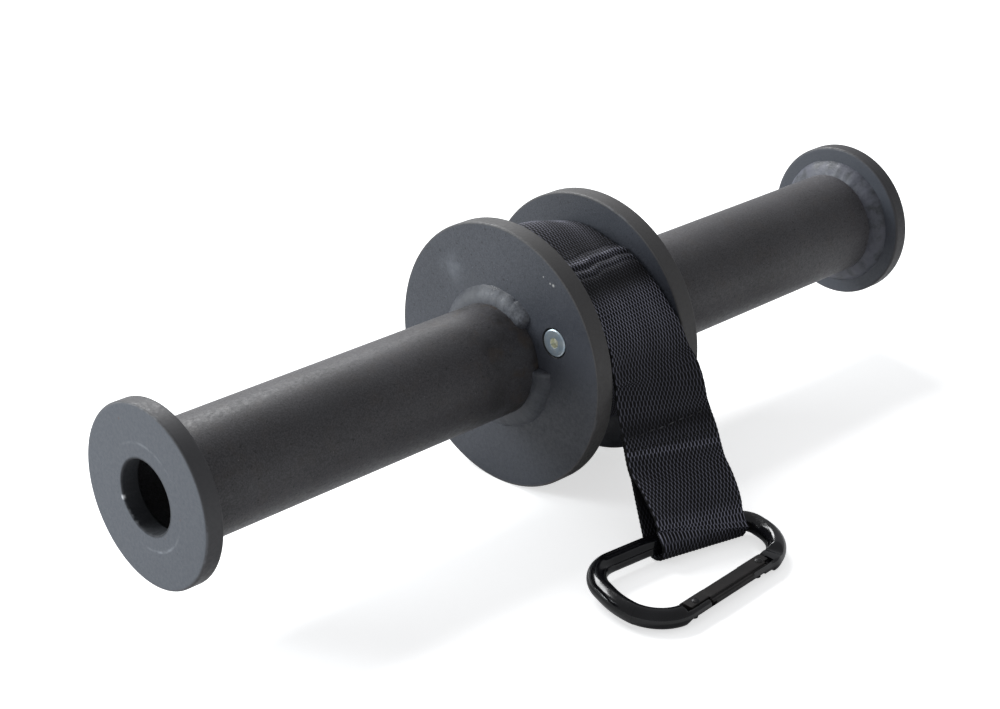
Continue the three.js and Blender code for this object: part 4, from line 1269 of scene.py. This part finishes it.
def bar_grid():
    """The bar: a round section carried along the middle line. The spine has a shallow trough in its upper
    and lower faces. Beside the gate the inner part is cut back to a lip, which is kept low, and its lower
    outer edge is planed off. At the hinge corner the faces are forged flat, with a scoop up to the round."""
    at, line = bar_line()
    tangent = unit(np.gradient(line, axis=0))
    inward = np.stack([tangent[:, 1], -tangent[:, 0]], axis=1)
    turn = np.linspace(0, FULL_TURN, 57)[None, :]
    x, y = line[:, :1], line[:, 1:]
    forged = 1 + swell(x, FORGED_SWELL) * (y < 6 * MM)
    steep = np.abs(np.abs(turn - math.pi) - math.pi / 2)
    on_spine = smooth_window(x, -48 * MM, 22 * MM, 5 * MM) * (y > 24 * MM)
    trough = 0.75 * MM * on_spine * np.exp(-((steep / (27 * DEGREE)) ** 4))
    radius = BAR_RADIUS * forged - trough
    in_plane = line[:, None] + inward[:, None] * (radius * np.cos(turn))[..., None]
    z = radius * np.sin(turn)
    x_here, y_here = in_plane[..., 0], in_plane[..., 1]
    gate_side = y < 1.5 * MM
    second_half = (at > at[-1] / 2)[:, None]
    nose_rows = ~second_half & gate_side & (x > -LATCH_FROM_HINGE - NOSE_CUT)
    hinge_rows = second_half & gate_side & (x < HINGE_BODY_FROM)
    for rows, depth in ((nose_rows, NOSE_LIP_DEPTH), (hinge_rows, HINGE_LIP_DEPTH)):
        y_here = np.where(rows, np.minimum(y_here, -depth), y_here)
    planed_at_hinge = smooth_window(x, -LATCH_FROM_HINGE, 7.4 * MM, 1.6 * MM)
    planed_at_nose = smooth_window(x, -LATCH_FROM_HINGE - NOSE_CUT - 0.5 * MM, 0.0, 2.5 * MM)
    planed = np.where(second_half, planed_at_hinge, planed_at_nose) * (y < 2.5 * MM)
    past_corner = smooth_window(x, 11.5 * MM, 60 * MM, 8 * MM)
    flat = LIP_TOP - swell(x, FORGED_SCOOP) + (BAR_RADIUS * 1.1 - LIP_TOP) * past_corner
    top = np.where(second_half & (y < 9 * MM), flat, 2 * BAR_RADIUS)
    top = np.where(nose_rows, LIP_TOP, top)
    z = np.clip(z, -top, top)
    lowest = np.minimum((-PLANED - y_here * PLANE_Y) / PLANE_Z, 0.6 * MM)
    z = z + np.clip(lowest - z, 0, None) * planed
    grid = np.stack([x_here, y_here, z], axis=-1)
    hub = grid.mean(axis=1, keepdims=True)
    from_end = np.minimum(at, at[-1] - at)
    end_round = np.sqrt(1 - (1 - np.clip(from_end / (0.8 * MM), 0, 1)) ** 2)
    grid = hub + (grid - hub) * (0.75 + 0.25 * end_round[:, None, None])
    caps = np.repeat(hub, grid.shape[1], axis=1)
    return np.concatenate([caps[:1], grid, caps[-1:]])


def soft_block(low, high, radius):
    """A block with rounded edges: a rounded rectangle carried up, drawn in at both ends as a quarter
    round and closed on its middle."""
    low, high = np.array(low), np.array(high)
    rise = np.linspace(0, math.pi / 2, 5)
    drawn = radius * (1 - np.sin(rise))
    climb = radius * (1 - np.cos(rise))
    heights = np.r_[low[2] + climb, high[2] - climb[::-1]]
    insets = np.r_[drawn, drawn[::-1]]
    rows = []
    for height, inset in zip(heights, insets):
        a, b = low[:2] + inset, high[:2] - inset
        outline = rounded([(a[0], a[1]), (b[0], a[1]), (b[0], b[1]), (a[0], b[1])],
                          max(radius - inset, 0.08 * MM), 4, 0.1 * MM)
        rows.append(np.hstack([outline, np.full((len(outline), 1), height)]))
    grid = np.stack(rows)
    hub = grid.mean(axis=1, keepdims=True) + 0 * grid[:, :1]
    return np.concatenate([hub[:1] + 0 * grid[:1], grid, hub[-1:] + 0 * grid[:1]])


def build_bar(finish):
    """The bar, with the tongues at its nose and hinge as blocks that stand between the gate's cheeks."""
    latch = -LATCH_FROM_HINGE
    nose_end = latch - NOSE_CUT
    root = -(NOSE_LIP_DEPTH + BAR_RADIUS) / 2
    into_bar = HINGE_BODY_FROM + 2.1 * MM
    beside_rivet = 3.5 * MM

    def block(low_x, low_y, high_x, high_y):
        """A block between two corners in the bar's plane, as thick as the tongue."""
        return soft_block((low_x, low_y, -TONGUE), (high_x, high_y, TONGUE), TONGUE_ROUND)

    at_nose = [
        block(nose_end - 2.1 * MM, root, latch - RIVET_ROOM, 3.2 * MM),
        block(latch + RIVET_ROOM, root, latch + 3.2 * MM, 3.2 * MM),
        block(nose_end - 2 * MM, root, latch + 3.1 * MM, -RIVET_ROOM),
    ]
    at_hinge = [
        block(RIVET_ROOM, -TONGUE_HALF, into_bar, TONGUE_HALF),
        block(TONGUE_TIP, RIVET_ROOM, beside_rivet, TONGUE_HALF),
        block(TONGUE_TIP, -TONGUE_HALF, beside_rivet, -RIVET_ROOM),
        block(TONGUE_TIP, -2.3 * MM, -RIVET_ROOM, 2.3 * MM),
        block(0.5 * MM, -3.8 * MM, into_bar, -1.0 * MM),
    ]
    surfaces = [place_in_frame(grid) for grid in [bar_grid(), *at_nose, *at_hinge]]
    make_piece(
        "carabiner_bar", surfaces, finish, "carabiner", ["carabiner_body"], CUT_CREASE,
    )


GATE_HALF = [
    (4.6, 1.2, 0.5), (2.85, 3.6, 0.5), (-2.35, 3.6, 0.22), (-2.5, 2.75, 0.15), (-3.7, 2.75, 0.25),
    (-4.2, 2.2, 0.3), (-4.2, 0.3, 0.6),
]                        # y, z and rounding in millimetres, from the inner side over the top to the outer
GATE_LOW = [(-1.2, -3.6, 0.6), (2.85, -3.6, 0.5), (4.6, -1.2, 0.5)]


def gate_section(outer, floor=None):
    """The gate's section, corners and their rounding. With a floor it is the upper cheek, which starts
    there, and with a negative one the lower cheek. No corner lies farther out than the outer limit."""
    if floor is None:
        rows = GATE_HALF + GATE_LOW
    elif floor > 0:
        rows = [(4.6, floor / MM, 0.2), *GATE_HALF[1:-1], (-4.2, floor / MM, 0.2)]
    else:
        rows = [(4.6, floor / MM, 0.2), (-2.6, floor / MM, 0.2), *GATE_LOW[:2]]
    rows = np.array(rows) * MM
    rows[:, 0] = np.maximum(rows[:, 0], outer)
    keep = [k for k in range(len(rows)) if np.hypot(*(rows[k, :2] - rows[k - 1, :2])) > 0.05 * MM]
    return rows[keep, :2], rows[keep, 2]


def carried(section, low, high, soft_low, soft_high, end=0.35 * MM):
    """A section in y and z carried along x and closed on its middle. A soft end is drawn in a little."""
    outline = rounded(*section, 6, 0.2 * MM)
    hub = outline[:-1].mean(axis=0)
    drawn = [(0, 0.86), (0.3 * end, 0.96), (end, 1.0)]
    start = drawn if soft_low else [(0, 1.0)]
    stop = drawn if soft_high else [(0, 1.0)]
    rows = [(low, 0.0)] + [(low + x, share) for x, share in start]
    rows += [(high - x, share) for x, share in reversed(stop)] + [(high, 0.0)]
    return np.stack([
        np.hstack([np.full((len(outline), 1), x), hub + (outline - hub) * share]) for x, share in rows
    ])


def build_gate(finish):
    """The gate: a stepped section carried along, whose ends are forked into two cheeks each. It has no
    bores: its rivets, spring and plunger run through it."""
    nose_end = -LATCH_FROM_HINGE - 5 * MM
    nose_slot = -LATCH_FROM_HINGE + 9 * MM
    lip = -NOSE_LIP_FROM_HINGE + 0.3 * MM
    hinge_slot = -HINGE_LIP - 0.4 * MM
    hinge_end = 4.4 * MM
    pivot_end = 1.2 * MM
    whole, beside_nose, beside_hinge, past_pivot = -5 * MM, -1.8 * MM, -3.1 * MM, -1.5 * MM
    surfaces = [carried(gate_section(whole), nose_slot, hinge_slot, False, False)]
    for floor in (SLOT, -SLOT):
        surfaces += [
            carried(gate_section(beside_nose, floor), nose_end, lip, True, False),
            carried(gate_section(whole, floor), lip, nose_slot, True, False),
            carried(gate_section(beside_hinge, floor), hinge_slot, pivot_end, False, False),
            carried(gate_section(past_pivot, floor), pivot_end, hinge_end, False, True),
        ]
    surfaces = [place_in_frame(grid) for grid in surfaces]
    make_piece(
        "carabiner_gate_bar", surfaces, finish, "gate", ["carabiner_gate"], CUT_CREASE,
    )


def upright_turned(profile, x, steps=40):
    """A profile of height and radius carried round an upright line through a place along the gate."""
    profile = np.asarray(profile)
    angles = all_round(steps)
    ring = np.ones_like(angles)
    return place_in_frame(np.stack([
        x + profile[:, 1:] * np.cos(angles), profile[:, 1:] * np.sin(angles), profile[:, :1] * ring,
    ], axis=-1))


def build_rivet(node, name, body, x, finish):
    """A rivet: a straight shank with a low domed head at both ends."""
    shank, head, base, rise = 1.2 * MM, 1.8 * MM, 3.62 * MM, 0.62 * MM
    bend = np.linspace(0, math.pi / 2, 7)
    dome = [(base, head)] + [(base + rise * math.sin(t), head * math.cos(t)) for t in bend[1:-1]]
    dome.append((base + rise, 0))
    half = [(0, shank), (base - 0.05 * MM, shank)] + dome
    profile = [(-z, r) for z, r in reversed(half[1:])] + half
    make_piece(name, [upright_turned(profile, x)], finish, body, [node], 45 * DEGREE)


def local_span(node):
    """Where a solid begins and ends along the gate, from the hinge."""
    along = (corners_of(node) - hinge_point) @ gate_along
    return along.min(), along.max()


def build_spring(finish):
    """The gate's spring: a wire of round section carried along a helix on the gate's middle line."""
    low, high = local_span("gate_spring")
    wire, coil = 0.25 * MM, 1.15 * MM
    curls = 9
    turn = np.linspace(0, FULL_TURN * curls, curls * 24 + 1)[:, None]
    round_wire = np.linspace(0, FULL_TURN, 9)[None, :]
    along = high - wire - (high - low - 2 * wire) * turn / turn[-1]
    radius = coil + wire * np.cos(round_wire)
    grid = np.stack(np.broadcast_arrays(
        along + wire * np.sin(round_wire), radius * np.cos(turn), radius * np.sin(turn),
    ), axis=-1)
    hub = np.repeat(grid[:, :-1].mean(axis=1, keepdims=True), grid.shape[1], axis=1)
    grid = np.concatenate([hub[:1], grid, hub[-1:]])
    make_piece("gate_spring_wire", [place_in_frame(grid)], finish, "gate", ["gate_spring"])


def build_plunger(finish):
    """The plunger: a pin with a blunt cone towards the hinge. It runs through the gate's solid end."""
    low, high = local_span("gate_plunger")
    radius = 1.5 * MM
    profile = np.array([
        (low, 0), (low, radius - 0.2 * MM), (low + 0.2 * MM, radius), (high - 0.8 * MM, radius),
        (high - 0.1 * MM, 0.85 * MM), (high, 0.6 * MM), (high, 0),
    ])
    angles = all_round(32)
    grid = np.stack([
        profile[:, :1] * np.ones_like(angles),
        profile[:, 1:] * np.cos(angles),
        profile[:, 1:] * np.sin(angles),
    ], axis=-1)
    make_piece("plunger_pin", [place_in_frame(grid)], finish, "plunger", ["gate_plunger"])


# Putting the roller together.
grip_paint = painted_steel(
    "speckled_grip_paint", (0.032, 0.030, 0.032), (0.080, 0.077, 0.083), 0.44, 1.0, None, tube_stains,
)
plate_edges = [-PLATE_FACE, PLATE_FACE]
plate_paint = painted_steel(
    "satin_plate_paint", (0.074, 0.083, 0.099), (0.098, 0.108, 0.128), 0.46, 0.45,
    edge_wear(plate_edges, [plate_radius]), plate_stains,
)
flange_edges = [side * corner.x for side in (-1, 1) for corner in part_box("right_drum_flange")]
flange_paint = painted_steel(
    "speckled_flange_paint", (0.034, 0.038, 0.048), (0.064, 0.070, 0.087), 0.46, 0.9,
    edge_wear(flange_edges, [flange_radius]), flange_stains,
)
bead_paint = weld_paint()
zinc = zinc_plate()
hidden_cloth = webbing_cloth("black_webbing_inside")
thread = stitch_thread()
gloss_black = gloss_anodised()
satin_black = gate_finish()
dark_steel = bare_steel("blackened_rivet_steel", (0.03, 0.03, 0.032), (0.07, 0.068, 0.066), 0.3)
spring_steel = bare_steel("spring_steel", (0.35, 0.36, 0.38), (0.55, 0.56, 0.58), 0.25)

build_tube(grip_paint)
build_end_plate("left_end_plate", "end_plate_left", [
    (340, 3.0, 0.7), (296, 3.5, -0.6), (303, 2.4, 0.3), (309, 3.0, -0.8), (317, 3.5, -0.5), (323, 2.0, 0.35),
    (231, 4.0, -0.25), (262, 3.0, -0.2),
], plate_paint)
build_end_plate("right_end_plate", "end_plate_right", [
    (25, 3.0, 0.4), (118, 3.5, -0.4), (204, 2.4, 0.3), (289, 3.0, -0.5),
], plate_paint)
build_flange("left_drum_flange", "drum_flange_left", 6.9 * MM, flange_paint)
build_flange("right_drum_flange", "drum_flange_right", bolt_shank_radius + 0.3 * MM, flange_paint)
for node, name, legs, span, ends, seed, notches in (
    ("left_end_weld", "end_bead_left", END_LEGS, FULL, ROUND_ENDS, 3, ()),
    ("right_end_weld", "end_bead_right", END_LEGS, FULL, ROUND_ENDS, 4, ()),
    ("left_flange_weld_upper", "drum_bead_left_upper", DRUM_LEGS, UPPER, ROUND_ENDS, 5, NOTCH),
    ("left_flange_weld_lower", "drum_bead_left_lower", DRUM_LEGS, LOWER, SQUARE_START, 6, ()),
    ("right_flange_weld_upper", "drum_bead_right_upper", DRUM_LEGS, UPPER, ROUND_ENDS, 7, ()),
    ("right_flange_weld_lower", "drum_bead_right_lower", DRUM_LEGS, LOWER, SQUARE_START, 8, ()),
):
    build_weld(node, name, legs, span, ends, seed, bead_paint, notches)
build_bolt(zinc)
build_eye(hidden_cloth)
build_inner_turns(hidden_cloth)
turn_length = build_outer_turn()
run_stations = build_run(webbing_cloth("black_webbing_run", run_light_bands(turn_length)), turn_length)
build_stitches(run_stations, thread)
build_bar(gloss_black)
build_gate(satin_black)
build_rivet("gate_hinge_rivet", "rivet_at_hinge", "carabiner", 0.0, dark_steel)
build_rivet("gate_latch_rivet", "rivet_at_latch", "gate", -LATCH_FROM_HINGE, dark_steel)
build_spring(spring_steel)
build_plunger(spring_steel)


# Studio.
def add_lamp(name, place, aim, size, power, color):
    """A rectangular soft lamp at a place, turned so that it looks at its aim."""
    lamp = bpy.data.lights.new(name, "AREA")
    lamp.shape = "RECTANGLE"
    lamp.size, lamp.size_y = size
    lamp.energy = power
    lamp.color = color
    holder = bpy.data.objects.new(name, lamp)
    holder.location = place
    away = np.array(place, float) - np.array(aim, float)
    pitch = math.acos(away[2] / np.linalg.norm(away))
    holder.rotation_euler = (pitch, 0, math.atan2(away[0], -away[1]))
    bpy.context.scene.collection.objects.link(holder)


SURROUND_LIGHT = 0.38    # how strongly the surround lights the object: the camera itself sees it white
FLOOR_GLOW = 0.63        # what the camera sees of the floor besides the lamps' light on it
FLOOR_GLOW_GAIN = 0.22   # and how much more of it far from the object


def build_studio():
    """A white floor that keeps the shadow, two soft lamps and a pale surround. The floor's glow is for the
    camera alone: it is the same near the object and grows smoothly with the distance from it."""
    add_lamp("window_softbox", (-1.25, 1.35, 0.62), (-0.1, 0, 0.06), (0.6, 0.7), 24, (0.92, 0.97, 1.0))
    add_lamp("back_softbox", (0.15, 1.25, 1.25), (0, 0, 0.05), (1.6, 0.5), 36, (0.98, 0.99, 1.0))
    world = bpy.data.worlds.new("pale_surround")
    bpy.context.scene.world = world
    world.use_nodes = True
    air = Paint("pale_surround", world.node_tree)
    seen = air.node("ShaderNodeLightPath", output="Is Camera Ray")
    plain = air.node(
        "ShaderNodeBackground", None, {"Color": (0.95, 0.97, 1.0, 1.0), "Strength": SURROUND_LIGHT},
    )
    white = air.node("ShaderNodeBackground", None, {"Color": (1.0, 1.0, 1.0, 1.0), "Strength": 1.0})
    both = air.node("ShaderNodeMixShader", None, {0: seen, 1: plain, 2: white})
    air.node("ShaderNodeOutputWorld", None, {"Surface": both})

    paint = Paint("white_floor")
    seen = paint.node("ShaderNodeLightPath", output="Is Camera Ray")
    white = paint.node("ShaderNodeBsdfDiffuse", None, {"Color": (0.8, 0.8, 0.8, 1.0)})
    _, (x, y, _) = paint.place()
    away = paint.step((x * x + y * y).math("SQRT"), 0.35, 0.9)
    strength = seen * (away * FLOOR_GLOW_GAIN + FLOOR_GLOW)
    glow = paint.node("ShaderNodeEmission", None, {"Color": (1.0, 1.0, 1.0, 1.0), "Strength": strength})
    both = paint.node("ShaderNodeAddShader", None, {0: white, 1: glow})
    paint.node("ShaderNodeOutputMaterial", None, {"Surface": both})
    reach = 6.0
    corners = [(-reach, -reach, 0), (reach, -reach, 0), (reach, reach, 0), (-reach, reach, 0)]
    mesh = bpy.data.meshes.new("studio_floor")
    mesh.from_pydata(corners, [], [(0, 1, 2, 3)])
    mesh.materials.append(paint.material)
    floor = bpy.data.objects.new("studio_floor", mesh)
    bpy.context.scene.collection.objects.link(floor)


build_studio()
bpy.context.scene.view_settings.view_transform = "Standard"
